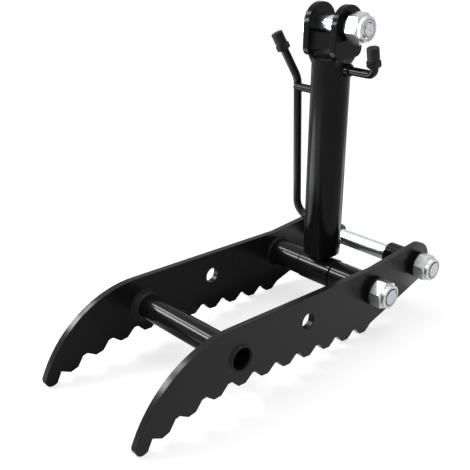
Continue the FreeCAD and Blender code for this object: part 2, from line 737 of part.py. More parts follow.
piston_rim = "(Sizes.barrel_bore / 2 - Sizes.piston_clearance)"
seal_foot = "(%s + Sizes.ring_spacing)" % PISTON_FOOT
wear_foot = "(%s + Sizes.piston_seal_width + Sizes.ring_spacing)" % seal_foot
piston = turned("piston", [
    ("%s + Sizes.seat_clearance" % spigot_radius, PISTON_FOOT),
    (piston_rim + " - Sizes.turned_chamfer", PISTON_FOOT),
    (piston_rim, PISTON_FOOT + " + Sizes.turned_chamfer"),
] + ring_seat(seal_foot, "Sizes.piston_seal_width", piston_rim, "Sizes.piston_seal_depth")
  + ring_seat(wear_foot, "Sizes.wear_ring_width", piston_rim, "Sizes.wear_ring_depth") + [
    (piston_rim, PISTON_TOP + " - Sizes.turned_chamfer"),
    (piston_rim + " - Sizes.turned_chamfer", PISTON_TOP),
    ("%s + Sizes.seat_clearance" % spigot_radius, PISTON_TOP),
])
piston.Placement = CYLINDER_PLACE
nodes.append(piston)


def seated_ring(label, foot, width, rim, depth, swell, place):
    """A ring that fills a groove and stands out of it by a little."""
    inner = "%s - %s + Sizes.seat_clearance" % (rim, depth)
    outer = "%s + %s" % (rim, swell)
    low = "%s + Sizes.seat_clearance" % foot
    high = "%s + %s - Sizes.seat_clearance" % (foot, width)
    ring = turned(label, [(inner, low), (outer, low), (outer, high), (inner, high)])
    ring.Placement = place
    return ring


ring_swell = "Sizes.piston_clearance / 3"
nodes.append(seated_ring("piston_seal", seal_foot, "Sizes.piston_seal_width", piston_rim,
                         "Sizes.piston_seal_depth", ring_swell, CYLINDER_PLACE))
nodes.append(seated_ring("piston_wear_ring", wear_foot, "Sizes.wear_ring_width", piston_rim,
                         "Sizes.wear_ring_depth", ring_swell, CYLINDER_PLACE))

rod_nut = turned("piston_nut", [
    ("%s + Sizes.seat_clearance" % spigot_radius, PISTON_TOP),
    ("Sizes.rod_nut_across_flats / sqrt(3)", PISTON_TOP),
    ("Sizes.rod_nut_across_flats / sqrt(3)", "%s + Sizes.rod_nut_height - Sizes.turned_chamfer" % PISTON_TOP),
    ("Sizes.rod_nut_across_flats / 2", "%s + Sizes.rod_nut_height" % PISTON_TOP),
    ("%s + Sizes.seat_clearance" % spigot_radius, "%s + Sizes.rod_nut_height" % PISTON_TOP),
])
cut_to_hexagon(rod_nut, S + "rod_nut_across_flats", PISTON_TOP + " - 1",
               "%s + Sizes.rod_nut_height + 1" % PISTON_TOP, "Sizes.rod_nut_across_flats / sqrt(3) * 2")
rod_nut.Placement = CYLINDER_PLACE
nodes.append(rod_nut)


# Barrel side of the cylinder.

def port_hole(body, name, height, side, reach):
    """Drill a port through one wall, from the axis outwards along Y."""
    sketch = new_sketch(body, "XZ_Plane", name + "_circle")
    draw_circle(sketch, "0", height, S + "port_bore")
    pocket = body.newObject("PartDesign::Pocket", name)
    pocket.Profile = sketch
    pocket.Reversed = side < 0
    pocket.Length = value(reach)
    pocket.setExpression("Length", reach)
    return pocket


barrel_radius = "Sizes.barrel_diameter / 2"
barrel = turned("barrel_tube", [
    ("Sizes.barrel_bore / 2", BARREL_FOOT),
    (barrel_radius, BARREL_FOOT),
    (barrel_radius, BARREL_TOP),
    ("Sizes.barrel_bore / 2", BARREL_TOP),
])
port_hole(barrel, "barrel_upper_port", UPPER_PORT, 1, barrel_radius + " + 1")
port_hole(barrel, "barrel_lower_port", LOWER_PORT, -1, barrel_radius + " + 1")
barrel.Placement = CYLINDER_PLACE
nodes.append(barrel)

spigot_rim = "(Sizes.barrel_bore / 2 - Sizes.seat_clearance)"
end_cap = turned("end_cap", [
    ("0", UPPER_PORT),
    ("Sizes.port_bore / 2", UPPER_PORT),
    ("Sizes.port_bore / 2", CAP_FACE),
    (spigot_rim + " - Sizes.turned_chamfer", CAP_FACE),
    (spigot_rim, CAP_FACE + " + Sizes.turned_chamfer"),
    (spigot_rim, BARREL_TOP),
    (barrel_radius, BARREL_TOP),
    (barrel_radius, CAP_TOP + " - Sizes.cap_chamfer"),
    (barrel_radius + " - Sizes.cap_chamfer", CAP_TOP),
    ("0", CAP_TOP),
])
port_hole(end_cap, "end_cap_port", UPPER_PORT, 1, barrel_radius)
end_cap.Placement = CYLINDER_PLACE
nodes.append(end_cap)

gland_bore = "(Sizes.rod_diameter / 2 + Sizes.rod_running_clearance)"
gland_shoulder = "(%s + Sizes.gland_insert)" % BARREL_FOOT
gland_top = "(%s + Sizes.gland_nose_length)" % gland_shoulder
gland_rim = "(Sizes.barrel_bore / 2 - Sizes.seat_clearance)"
o_ring_foot = "(%s + Sizes.gland_insert * 0.6)" % BARREL_FOOT
rod_seal_foot = "(%s + Sizes.gland_insert * 0.35)" % BARREL_FOOT
wiper_top = "(%s + Sizes.wiper_width)" % GLAND_FACE
rod_seal_top = "(%s + Sizes.rod_seal_width)" % rod_seal_foot
gland = turned("gland", [
    (gland_bore + " + Sizes.wiper_depth", GLAND_FACE),
    ("Sizes.gland_lip_diameter / 2 - Sizes.gland_chamfer", GLAND_FACE),
    ("Sizes.gland_lip_diameter / 2", GLAND_FACE + " + Sizes.gland_chamfer"),
    ("Sizes.gland_lip_diameter / 2", BARREL_FOOT),
    (gland_rim, BARREL_FOOT),
] + ring_seat(o_ring_foot, "Sizes.o_ring_width", gland_rim, "Sizes.o_ring_depth") + [
    (gland_rim, gland_shoulder + " - Sizes.turned_chamfer"),
    (gland_rim + " - Sizes.turned_chamfer", gland_shoulder),
    ("Sizes.gland_nose_diameter / 2", gland_shoulder),
    ("Sizes.gland_nose_diameter / 2", gland_top + " - Sizes.turned_chamfer"),
    ("Sizes.gland_nose_diameter / 2 - Sizes.turned_chamfer", gland_top),
    (gland_bore, gland_top),
    (gland_bore, rod_seal_top),
    (gland_bore + " + Sizes.rod_seal_depth", rod_seal_top),
    (gland_bore + " + Sizes.rod_seal_depth", rod_seal_foot),
    (gland_bore, rod_seal_foot),
    (gland_bore, wiper_top),
    (gland_bore + " + Sizes.wiper_depth", wiper_top),
])
gland.Placement = CYLINDER_PLACE
nodes.append(gland)


def bore_ring(label, foot, top, depth):
    """A seal in a groove of the gland's bore, running on the rod."""
    inner = gland_bore
    outer = "%s + %s - Sizes.seat_clearance" % (gland_bore, depth)
    low = "%s + Sizes.seat_clearance" % foot
    high = "%s - Sizes.seat_clearance" % top
    ring = turned(label, [(inner, low), (outer, low), (outer, high), (inner, high)])
    ring.Placement = CYLINDER_PLACE
    return ring


nodes.append(bore_ring("rod_seal", rod_seal_foot, rod_seal_top, "Sizes.rod_seal_depth"))
nodes.append(bore_ring("rod_wiper", GLAND_FACE, wiper_top, "Sizes.wiper_depth"))
nodes.append(seated_ring("gland_o_ring", o_ring_foot, "Sizes.o_ring_width", gland_rim,
                         "Sizes.o_ring_depth", "0", CYLINDER_PLACE))


def clevis_ear(label, side):
    """One ear of the clevis: round about the pin, straight sides below it, and rounded lower corners."""
    body = new_body(label)
    sketch = new_sketch(body, "XZ_Plane", label + "_outline")
    radius = size("ear_radius")
    height = value(CLEVIS_PIN)
    foot = value(CAP_TOP)
    corner = size("ear_corner")
    up = FreeCAD.Vector(0, 0, 1)

    def arc(across, along, bend, first, last):
        circle = Part.Circle(FreeCAD.Vector(across, along, 0), up, bend)
        return sketch.addGeometry(Part.ArcOfCircle(circle, math.radians(first), math.radians(last)))

    def line(first, last):
        return sketch.addGeometry(Part.LineSegment(FreeCAD.Vector(*first, 0), FreeCAD.Vector(*last, 0)))

    crown = arc(0, height, radius, 0, 180)
    back = line((-radius, height), (-radius, foot + corner))
    back_corner = arc(-radius + corner, foot + corner, corner, 180, 270)
    seat = line((-radius + corner, foot), (radius - corner, foot))
    front_corner = arc(radius - corner, foot + corner, corner, 270, 360)
    front = line((radius, foot + corner), (radius, height))
    for first, first_end, second, second_end in (
            (crown, 2, back, 1), (back, 2, back_corner, 1), (back_corner, 2, seat, 1),
            (seat, 2, front_corner, 1), (front_corner, 2, front, 1), (front, 2, crown, 1)):
        sketch.addConstraint(Sketcher.Constraint("Tangent", first, first_end, second, second_end))
    pin_point(sketch, crown, 3, "0", CLEVIS_PIN)
    for curve, expression in ((crown, S + "ear_radius"), (back_corner, S + "ear_corner"),
                              (front_corner, S + "ear_corner")):
        key = sketch.addConstraint(Sketcher.Constraint("Radius", curve, value(expression)))
        sketch.setExpression("Constraints[%d]" % key, expression)
    sketch.addConstraint(Sketcher.Constraint("Vertical", back))
    sketch.addConstraint(Sketcher.Constraint("Vertical", front))
    key = sketch.addConstraint(Sketcher.Constraint("DistanceY", -1, 1, seat, 1, foot))
    sketch.setExpression("Constraints[%d]" % key, CAP_TOP)
    draw_circle(sketch, "0", CLEVIS_PIN, bolt_hole)
    pad = body.newObject("PartDesign::Pad", label + "_plate")
    pad.Profile = sketch
    pad.Midplane = True
    pad.setExpression("Length", S + "ear_thickness")
    offset = side * (size("ear_gap") + size("ear_thickness")) / 2
    place = FreeCAD.Placement(FreeCAD.Vector(0, offset, 0), FreeCAD.Rotation())
    body.Placement = CYLINDER_PLACE.multiply(place)
    return body


nodes.append(clevis_ear("clevis_ear_left", 1))
nodes.append(clevis_ear("clevis_ear_right", -1))


def bar_along(name, corners, expression_length):
    """A straight bead along X: a profile of (across, along) expressions in the YZ plane, padded both ways."""
    body = new_body(name)
    sketch = new_sketch(body, "YZ_Plane", name + "_profile")
    draw_polygon(sketch, corners)
    pad = body.newObject("PartDesign::Pad", name + "_bead")
    pad.Profile = sketch
    pad.Midplane = True
    pad.setExpression("Length", expression_length)
    body.Placement = CYLINDER_PLACE
    return body


def ear_weld_beads():
    """Fillet beads inside the ears on the cap, and the beads under the ears' overhang outside the barrel."""
    beads = []
    for side_name, sign in (("left", "1"), ("right", "-1")):
        face = "%s * Sizes.ear_gap / 2" % sign
        toe = "%s * (Sizes.ear_gap / 2 - Sizes.ear_weld)" % sign
        beads.append(bar_along("ear_weld_inside_" + side_name, [
            (face, CAP_TOP), (toe, CAP_TOP), (face, CAP_TOP + " + Sizes.ear_weld")],
            "2 * (Sizes.ear_radius - Sizes.ear_corner)"))
        cone = doc.addObject("Part::Cone", "ear_weld_cone_" + side_name)
        cone.setExpression("Radius1", "Sizes.barrel_diameter / 2 + 0.05")
        cone.setExpression("Radius2", "Sizes.barrel_diameter / 2 + 0.05 + Sizes.ear_weld")
        cone.setExpression("Height", S + "ear_weld_depth")
        foot = FreeCAD.Vector(0, 0, value(CAP_TOP) - size("ear_weld_depth"))
        cone.Placement = CYLINDER_PLACE.multiply(FreeCAD.Placement(foot, FreeCAD.Rotation()))
        slab = doc.addObject("Part::Box", "ear_weld_slab_" + side_name)
        slab.setExpression("Length", "2 * (Sizes.ear_radius - Sizes.ear_corner)")
        slab.setExpression("Width", S + "ear_thickness")
        slab.setExpression("Height", S + "ear_weld_depth")
        across = size("ear_gap") / 2 if side_name == "left" else -size("ear_gap") / 2 - size("ear_thickness")
        corner = FreeCAD.Vector(-(size("ear_radius") - size("ear_corner")), across, foot.z)
        slab.Placement = CYLINDER_PLACE.multiply(FreeCAD.Placement(corner, FreeCAD.Rotation()))
        wall = doc.addObject("Part::Cylinder", "ear_weld_wall_" + side_name)
        wall.setExpression("Radius", "Sizes.barrel_diameter / 2 + 0.05")
        wall.setExpression("Height", CLEVIS_PIN)
        wall.Placement = CYLINDER_PLACE
        boss = doc.addObject("Part::Cylinder", "ear_weld_boss_" + side_name)
        boss.setExpression("Radius", "Sizes.port_boss_diameter / 2 + 0.1")
        boss.setExpression("Height", S + "barrel_diameter")
        boss.Placement = across_cylinder(value(UPPER_PORT), 0)
        outside = doc.addObject("Part::MultiCommon", "ear_weld_common_" + side_name)
        outside.Shapes = [cone, slab]
        tools = doc.addObject("Part::MultiFuse", "ear_weld_tools_" + side_name)
        tools.Shapes = [wall, boss]
        bead = doc.addObject("Part::Cut", "ear_weld_outside_" + side_name)
        bead.Base = outside
        bead.Tool = tools
        beads.append(bead)
    return beads


ear_welds = doc.addObject("Part::Compound", "clevis_welds")
ear_welds.Label = "clevis_welds"
ear_welds.Links = ear_weld_beads()
nodes.append(ear_welds)


def port_boss(label, height, side):
    """A round boss welded on the barrel, coped to its wall, with the port through it."""
    start = "Sizes.barrel_diameter / 4"
    top = "Sizes.barrel_diameter / 2 + Sizes.%s_height" % label
    body = turned(label, [
        ("Sizes.port_bore / 2", start),
        ("Sizes.port_boss_diameter / 2", start),
        ("Sizes.port_boss_diameter / 2", top + " - 1.5"),
        ("Sizes.port_boss_diameter / 2 - 1.5", top),
        ("Sizes.port_bore / 2", top),
    ])
    sketch = new_sketch(body, "XZ_Plane", label + "_cope")
    draw_circle(sketch, "0", "0", S + "barrel_diameter")
    saddle = body.newObject("PartDesign::Pocket", label + "_saddle")
    saddle.Profile = sketch
    saddle.Type = "ThroughAll"
    saddle.Midplane = True
    body.Placement = across_cylinder(value(height), 0, side)
    return body


nodes.append(port_boss("upper_port_boss", UPPER_PORT, 1))
nodes.append(port_boss("lower_port_boss", LOWER_PORT, -1))


# Hard lines: bent steel tube along straight runs joined by tangent arcs.

def bent_path(corners, radii):
    """A wire of straight runs joined by tangent arcs, one radius for each inner corner."""
    edges = []
    start = corners[0]
    for before, corner, after, radius in zip(corners, corners[1:], corners[2:], radii):
        inward = (corner - before).normalize()
        outward = (after - corner).normalize()
        turn = inward.getAngle(outward)
        tangent = radius * math.tan(turn / 2)
        first = corner - inward * tangent
        last = corner + outward * tangent
        bisector = (outward - inward).normalize()
        centre = corner + bisector * (radius / math.cos(turn / 2))
        middle = centre - bisector * radius
        edges.append(Part.LineSegment(start, first).toShape())
        edges.append(Part.Arc(first, middle, last).toShape())
        start = last
    edges.append(Part.LineSegment(start, corners[-1]).toShape())
    return Part.Wire(edges)


def swept_tube(path, diameter, bore):
    """The tube's solid along a path: outside sweep less inside sweep."""
    start = path.Edges[0].valueAt(path.Edges[0].FirstParameter)
    direction = path.Edges[0].tangentAt(path.Edges[0].FirstParameter)
    solids = []
    for width in (diameter, bore):
        ring = Part.Wire([Part.Circle(start, direction, width / 2).toShape()])
        solids.append(path.makePipeShell([ring], True, False))
    return solids[0].cut(solids[1])


def hard_line(label, corners, radii):
    """One bent line in the cylinder's frame."""
    line = doc.addObject("Part::Feature", label)
    line.Label = label
    line.Shape = swept_tube(bent_path(corners, radii), size("line_diameter"), size("line_bore"))
    line.Placement = CYLINDER_PLACE
    return line


def unit(x, y, z):
    """A direction of length one."""
    return FreeCAD.Vector(x, y, z).normalize()


upper_boss_face = size("barrel_diameter") / 2 + size("upper_port_boss_height")
lower_boss_face = size("barrel_diameter") / 2 + size("lower_port_boss_height")
upper_lean = math.radians(size("upper_line_forward"))
upper_way = unit(math.sin(upper_lean), 0, math.cos(upper_lean))
upper_corner = FreeCAD.Vector(0, size("upper_line_reach"), value(UPPER_PORT))
upper_end = upper_corner + upper_way * (size("upper_line_bend") + size("upper_line_rise"))
upper_start = FreeCAD.Vector(0, upper_boss_face, value(UPPER_PORT))
nodes.append(hard_line("upper_line", [upper_start, upper_corner, upper_end], [size("upper_line_bend")]))

lower_start_point = FreeCAD.Vector(0, -lower_boss_face, value(LOWER_PORT))
lower_corner = FreeCAD.Vector(0, -size("lower_line_reach"), value(LOWER_PORT))
lean = math.radians(size("lower_line_lean"))
lean_way = unit(0, -math.sin(lean), math.cos(lean))
knee_height = value(BARREL_TOP) - size("lower_line_knee_below_top")
lower_knee = lower_corner + lean_way * ((knee_height - lower_corner.z) / math.cos(lean))
out_way = unit(math.sin(math.radians(size("lower_line_forward"))),
               -math.sin(math.radians(size("lower_line_out"))), math.cos(math.radians(size("lower_line_out"))))
knee_turn = lean_way.getAngle(out_way)
knee_tangent = size("lower_line_top_bend") * math.tan(knee_turn / 2)
lower_end = lower_knee + out_way * (knee_tangent + size("lower_line_tail"))
nodes.append(hard_line("lower_line", [lower_start_point, lower_corner, lower_knee, lower_end],
                       [size("lower_line_bend"), size("lower_line_top_bend")]))


def end_place(point, way):
    """Placement of a piece turned about Z on the end of a line."""
    return CYLINDER_PLACE.multiply(
        FreeCAD.Placement(point, FreeCAD.Rotation(FreeCAD.Vector(0, 0, 1), way)))


upper_fitting_place = end_place(upper_end, upper_way)
lower_fitting_place = end_place(lower_end, out_way)

stub_radius = "Sizes.fitting_stub_diameter / 2"
collar_corner = "Sizes.fitting_collar_flats / sqrt(3)"
collar_top = "Sizes.fitting_collar_length"
fitting_top = "(Sizes.fitting_collar_length + Sizes.fitting_stub_length)"
collar_bevel = "(%s - Sizes.line_diameter / 2) * 0.5" % collar_corner


def line_fitting(label, place):
    """A fitting on the end of a line: a hexagon that tapers to the tube, and a stub for the hose."""
    body = turned(label, [
        ("Sizes.fitting_bore / 2", "0"),
        ("Sizes.line_diameter / 2", "0"),
        (collar_corner, collar_bevel),
        (collar_corner, collar_top + " - 0.8"),
        ("Sizes.fitting_collar_flats / 2", collar_top),
        (stub_radius, collar_top),
        (stub_radius, fitting_top + " - 1.2"),
        (stub_radius + " - 1.2", fitting_top),
        ("Sizes.fitting_bore / 2", fitting_top),
    ])
    cut_to_hexagon(body, S + "fitting_collar_flats", "-1", collar_top, collar_corner + " * 2")
    body.Placement = place
    return body


nodes.append(line_fitting("upper_line_fitting", upper_fitting_place))
nodes.append(line_fitting("lower_line_fitting", lower_fitting_place))


def dust_cap(label, place):
    """A push-on cap: a cup with a rounded closed end that grips the fitting's stub."""
    inner = "(%s + Sizes.dust_cap_clearance)" % stub_radius
    outer = "(%s + Sizes.dust_cap_wall)" % inner
    seat = "(%s + 0.3)" % collar_top
    top = "(%s + Sizes.dust_cap_length)" % seat
    soft = "Sizes.dust_cap_round"
    body = turned(label, [
        (inner, seat),
        (outer + " - 0.5", seat),
        (outer, seat + " + 0.5"),
        (outer, "%s - %s" % (top, soft)),
        ("%s - 0.3 * %s" % (outer, soft), "%s - 0.3 * %s" % (top, soft)),
        ("%s - %s" % (outer, soft), top),
        ("0", top),
        ("0", top + " - Sizes.dust_cap_end"),
        (inner, top + " - Sizes.dust_cap_end"),
    ])
    body.Placement = place
    return body


nodes.append(dust_cap("upper_dust_cap", upper_fitting_place))
nodes.append(dust_cap("lower_dust_cap", lower_fitting_place))


# Standoff: a short rod from the barrel to the front of the lower line, coped to both.

standoff_rod = doc.addObject("Part::Cylinder", "line_standoff_rod")
standoff_rod.setExpression("Radius", "Sizes.standoff_diameter / 2")
standoff_rod.setExpression("Height", S + "standoff_reach")
standoff_rod.Placement = across_cylinder(value(BARREL_TOP) - size("standoff_below_top"), 0, -1).multiply(
    FreeCAD.Placement(FreeCAD.Vector(size("standoff_forward"), 0, 0), FreeCAD.Rotation()))
standoff_wall = doc.addObject("Part::Cylinder", "line_standoff_wall")
standoff_wall.setExpression("Radius", "Sizes.barrel_diameter / 2")
standoff_wall.setExpression("Height", BARREL_TOP)
standoff_wall.Placement = CYLINDER_PLACE
standoff_line = doc.addObject("Part::Cylinder", "line_standoff_cope")
standoff_line.setExpression("Radius", "Sizes.line_diameter / 2")
standoff_line.Height = (lower_knee - lower_corner).Length
standoff_line.Placement = end_place(lower_corner, lean_way)
standoff_first_cut = doc.addObject("Part::Cut", "line_standoff_foot")
standoff_first_cut.Base = standoff_rod
standoff_first_cut.Tool = standoff_wall
standoff = doc.addObject("Part::Cut", "line_standoff")
standoff.Label = "line_standoff"
standoff.Base = standoff_first_cut
standoff.Tool = standoff_line
nodes.append(standoff)

doc.recompute()

# Check every feature, then write one file for each sub-part.
broken = [item.Name for item in doc.Objects if {"Invalid", "Error"} & set(item.State)]
if broken:
    raise RuntimeError("features failed: " + ", ".join(broken))
for node in nodes:
    if node.Shape.isNull() or not node.Shape.isValid() or not node.Shape.Solids:
        raise RuntimeError("bad shape: " + node.Label)
os.makedirs("parts", exist_ok=True)
for node in nodes:
    node.Shape.exportStep("parts/%s.step" % node.Label)
    box = node.Shape.BoundBox
    print("%-22s solids %d volume %10.1f  x %7.1f %7.1f  y %7.1f %7.1f  z %7.1f %7.1f" % (
        node.Label, len(node.Shape.Solids), node.Shape.Volume,
        box.XMin, box.XMax, box.YMin, box.YMax, box.ZMin, box.ZMax))
print("nodes %d  stand angle %.3f  lower pivot %.3f %.3f" % (len(nodes), STAND, LOWER_PIVOT.x, LOWER_PIVOT.z))
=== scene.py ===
"""A hydraulic thumb in a plain studio: its dressed pieces, their finishes, the lights and the camera."""

import json
import logging
import math
from dataclasses import dataclass
from enum import Enum
from typing import Iterable, Sequence, Union

import bmesh
import bpy
from mathutils import Matrix, Vector

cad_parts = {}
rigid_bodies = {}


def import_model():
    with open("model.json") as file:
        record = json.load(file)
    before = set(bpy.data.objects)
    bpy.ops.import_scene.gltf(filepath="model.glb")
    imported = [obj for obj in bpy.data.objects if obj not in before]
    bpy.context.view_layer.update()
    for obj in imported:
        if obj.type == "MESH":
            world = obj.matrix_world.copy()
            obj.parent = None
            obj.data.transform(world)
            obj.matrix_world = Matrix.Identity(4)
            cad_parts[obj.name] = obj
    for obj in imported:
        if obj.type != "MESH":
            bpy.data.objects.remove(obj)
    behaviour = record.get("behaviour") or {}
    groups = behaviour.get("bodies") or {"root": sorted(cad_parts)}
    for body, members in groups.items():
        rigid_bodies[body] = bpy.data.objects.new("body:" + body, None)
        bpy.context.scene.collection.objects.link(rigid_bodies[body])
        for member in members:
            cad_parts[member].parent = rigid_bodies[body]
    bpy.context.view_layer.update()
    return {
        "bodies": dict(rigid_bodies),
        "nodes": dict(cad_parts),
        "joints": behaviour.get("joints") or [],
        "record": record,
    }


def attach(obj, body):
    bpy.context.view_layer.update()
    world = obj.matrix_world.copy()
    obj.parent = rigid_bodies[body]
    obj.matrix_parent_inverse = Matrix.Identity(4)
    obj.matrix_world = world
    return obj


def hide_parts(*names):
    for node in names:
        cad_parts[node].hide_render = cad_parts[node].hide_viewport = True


LOG = logging.getLogger("thumb")
MM = 0.001
FULL_TURN = 2 * math.pi
TURN_STEPS = 96
SMALL_TURN_STEPS = 72

# In millimetres.
WELD_GAP = 0.1
MERGE_WITHIN = 0.0005
CUT_WITHIN = 0.0001

# In metres and in degrees.
CAD_MERGE_WITHIN = 0.000001
CAD_FLAT_WITHIN = 0.6

Point = tuple[float, float]
Triple = tuple[float, float, float]
Colour = Triple
Value = Union["Signal", float]
Mesh = bmesh.types.BMesh
Edge = bmesh.types.BMEdge
Material = bpy.types.Material
Piece = bpy.types.Object
Nodes = dict[str, Piece]

WHITE = (1.0, 1.0, 1.0)


class Side(Enum):
    """Which side of the middle a piece is on."""

    LEFT = 1
    RIGHT = -1


class Ray(Enum):
    """A kind of ray that a piece of the studio can be hidden from."""

    CAMERA = "visible_camera"
    DIFFUSE = "visible_diffuse"
    GLOSSY = "visible_glossy"
    SHADOW = "visible_shadow"


def grey(tone: float) -> Colour:
    """A colour with as much red as green and blue."""
    return tone, tone, tone


def dimmed(colour: Colour, share: float) -> Colour:
    """A colour times a number."""
    return tuple(part * share for part in colour)


# Shader maths.


class Signal:
    """One socket of a material's nodes, which can be used in a Python expression."""

    def __init__(self, graph: "Graph", socket: bpy.types.NodeSocket) -> None:
        """Keep the graph and its output socket."""
        self.graph = graph
        self.socket = socket

    def _maths(self, operation: str, first: Value, second: Value) -> "Signal":
        """The result of a Math node with an upper and a lower value."""
        return self.graph.node("ShaderNodeMath", {"operation": operation}, {0: first, 1: second})

    def __add__(self, other: Value) -> "Signal":
        """The sum."""
        return self._maths("ADD", self, other)

    def __radd__(self, other: Value) -> "Signal":
        """The sum, from the right."""
        return self._maths("ADD", other, self)

    def __sub__(self, other: Value) -> "Signal":
        """The difference."""
        return self._maths("SUBTRACT", self, other)

    def __rsub__(self, other: Value) -> "Signal":
        """The difference, from the right."""
        return self._maths("SUBTRACT", other, self)

    def __mul__(self, other: Value) -> "Signal":
        """The product."""
        return self._maths("MULTIPLY", self, other)

    def __pow__(self, other: Value) -> "Signal":
        """The power."""
        return self._maths("POWER", self, other)

    def sine(self) -> "Signal":
        """The sine of an angle in radians."""
        return self._maths("SINE", self, 0.0)

    def bearing(self, other: "Signal") -> "Signal":
        """The angle whose tangent is this value over the other."""
        return self._maths("ARCTAN2", self, other)

    def above(self, low: float, high: float) -> "Signal":
        """How far the value has gone from low to high, kept between nought and one."""
        return self.graph.node(
            "ShaderNodeMapRange", {"clamp": True}, {"Value": self, "From Min": low, "From Max": high})


class Graph:
    """The nodes of one material."""

    def __init__(self, name: str) -> None:
        """Start a material with an empty node tree.

        Args:
            name: The material's name.
        """
        self.material = bpy.data.materials.new(name)
        self.material.use_nodes = True
        self.tree = self.material.node_tree
        self.tree.nodes.clear()
        self.coordinates = self.node("ShaderNodeTexCoord", {}, {}, "Object")

    def node(self, kind: str, settings: dict[str, object], inputs: dict[str | int, object],
             output: str | int = 0) -> Signal:
        """Make one node.

        Args:
            kind: The node's type.
            settings: Its own settings, set before its sockets.
            inputs: Values or signals for its sockets, by name or place.
            output: The name or place of the socket to hand back.

        Returns:
            The chosen output as a signal.
        """
        made = self.tree.nodes.new(kind)
        for name, setting in settings.items():
            setattr(made, name, setting)
        for name, entry in inputs.items():
            socket = made.inputs[name]
            if isinstance(entry, Signal):
                self.tree.links.new(entry.socket, socket)
            else:
                socket.default_value = entry
        return Signal(self, made.outputs[output])

    def noise(self, scale: float, detail: float = 2.0, roughness: float = 0.5,
              place: Signal | None = None) -> Signal:
        """A noise from nought to one whose features are one over scale metres across."""
        return self.node("ShaderNodeTexNoise", {}, {
            "Vector": place or self.coordinates, "Scale": scale, "Detail": detail, "Roughness": roughness})

    def placed(self, frame: Matrix, stretch: float = 1.0) -> Signal:
        """The object's coordinates seen from another frame.

        Args:
            frame: The frame, with its origin in millimetres.
            stretch: The scale along its Z.

        Returns:
            The new coordinates.
        """
        moved = self.node("ShaderNodeVectorMath", {"operation": "SUBTRACT"}, {
            0: self.coordinates, 1: tuple(frame.to_translation() * MM)})
        angles = frame.to_3x3().inverted().to_euler("XYZ")
        return self.node("ShaderNodeMapping", {"vector_type": "POINT"}, {
            "Vector": moved, "Rotation": tuple(angles), "Scale": (1.0, 1.0, stretch)})

    def parts(self, vector: Signal) -> tuple[Signal, ...]:
        """The three coordinates of a vector."""
        split = self.node("ShaderNodeSeparateXYZ", {}, {"Vector": vector}).socket.node
        return tuple(Signal(self, coordinate) for coordinate in split.outputs)

    def blend(self, factor: Value, first: object, second: object) -> Signal:
        """A colour between two, which is the first one where the factor is nought."""
        pair = [entry if isinstance(entry, Signal) else (*entry, 1.0) for entry in (first, second)]
        return self.node("ShaderNodeMix", {"data_type": "RGBA"}, {0: factor, 6: pair[0], 7: pair[1]}, 2)

    def bump(self, height: Value, distance: float) -> Signal:
        """A normal that leans with a height, of which one is worth a distance in metres."""
        return self.node("ShaderNodeBump", {}, {"Height": height, "Distance": distance, "Strength": 1.0})

    def finish(self, **sockets: object) -> Material:
        """Close the material with its shader.

        Args:
            **sockets: Values or signals for the shader's sockets, with underscores for spaces.

        Returns:
            The material.
        """
        named = {}
        for name, entry in sockets.items():
            wanted = name.replace("_", " ").title().replace("Ior", "IOR")
            named[wanted] = (*entry, 1.0) if isinstance(entry, tuple) and len(entry) == 3 else entry
        shader = self.node("ShaderNodeBsdfPrincipled", {}, named)
        output = self.tree.nodes.new("ShaderNodeOutputMaterial")
        self.tree.links.new(shader.socket, output.inputs["Surface"])
        return self.material


# Finishes.


@dataclass(frozen=True)
class PowderCoat:
    """Semi-gloss black powder coat: orange peel, faint dust and pale specks."""

    name: str
    tone: float = 0.0042
    roughness: float = 0.24
    peel: float = 0.000012
    shine: float = 0.15

    def make(self) -> Material:
        """Make the coat's material.

        Returns:
            The material.
        """
        graph = Graph(self.name)
        broad = graph.noise(9.0, 3.0)
        cloudy = graph.noise(55.0, 4.0, 0.6)
        grain = graph.noise(900.0, 2.0)
        specks = graph.noise(2600.0, 1.0).above(0.68, 0.76)
        dust = (broad * cloudy).above(0.16, 0.42)
        dark = dimmed((0.97, 1.0, 1.03), self.tone)
        dusted = graph.blend(dust, dark, grey(self.tone * 1.35))
        colour = graph.blend(specks * 0.35, dusted, grey(self.tone * 3.0))
        gloss = self.roughness + dust * 0.03 + (cloudy - 0.5) * 0.05 + (grain - 0.5) * 0.03
        peel = graph.noise(430.0, 1.5)
        normal = graph.bump(peel + grain * 0.25, self.peel)
        return graph.finish(
            base_color=colour, roughness=gloss, normal=normal, specular_ior_level=self.shine)


@dataclass(frozen=True)
class WeldCoat:
    """The same coat over a weld bead: ripples that follow the joint."""

    name: str
    frame: Matrix
    ripples: int
    tone: float = 0.0042
    roughness: float = 0.3

    def make(self) -> Material:
        """Make the bead's material.

        Returns:
            The material.
        """
        graph = Graph(self.name)
        across, along = graph.parts(graph.placed(self.frame))[:2]
        wander = graph.noise(240.0, 2.0)
        angle = across.bearing(along)
        wave = (angle * self.ripples + wander * 5.0).sine() * 0.5 + 0.5
        lumps = graph.noise(420.0, 2.0)
        colour = graph.blend(wave * 0.5 + lumps * 0.3, grey(self.tone), grey(self.tone * 1.6))
        normal = graph.bump(wave * 0.8 + lumps * 0.6, 0.00025)
        gloss = self.roughness + (lumps - 0.5) * 0.12
        return graph.finish(
            base_color=colour, roughness=gloss, normal=normal, specular_ior_level=0.15)


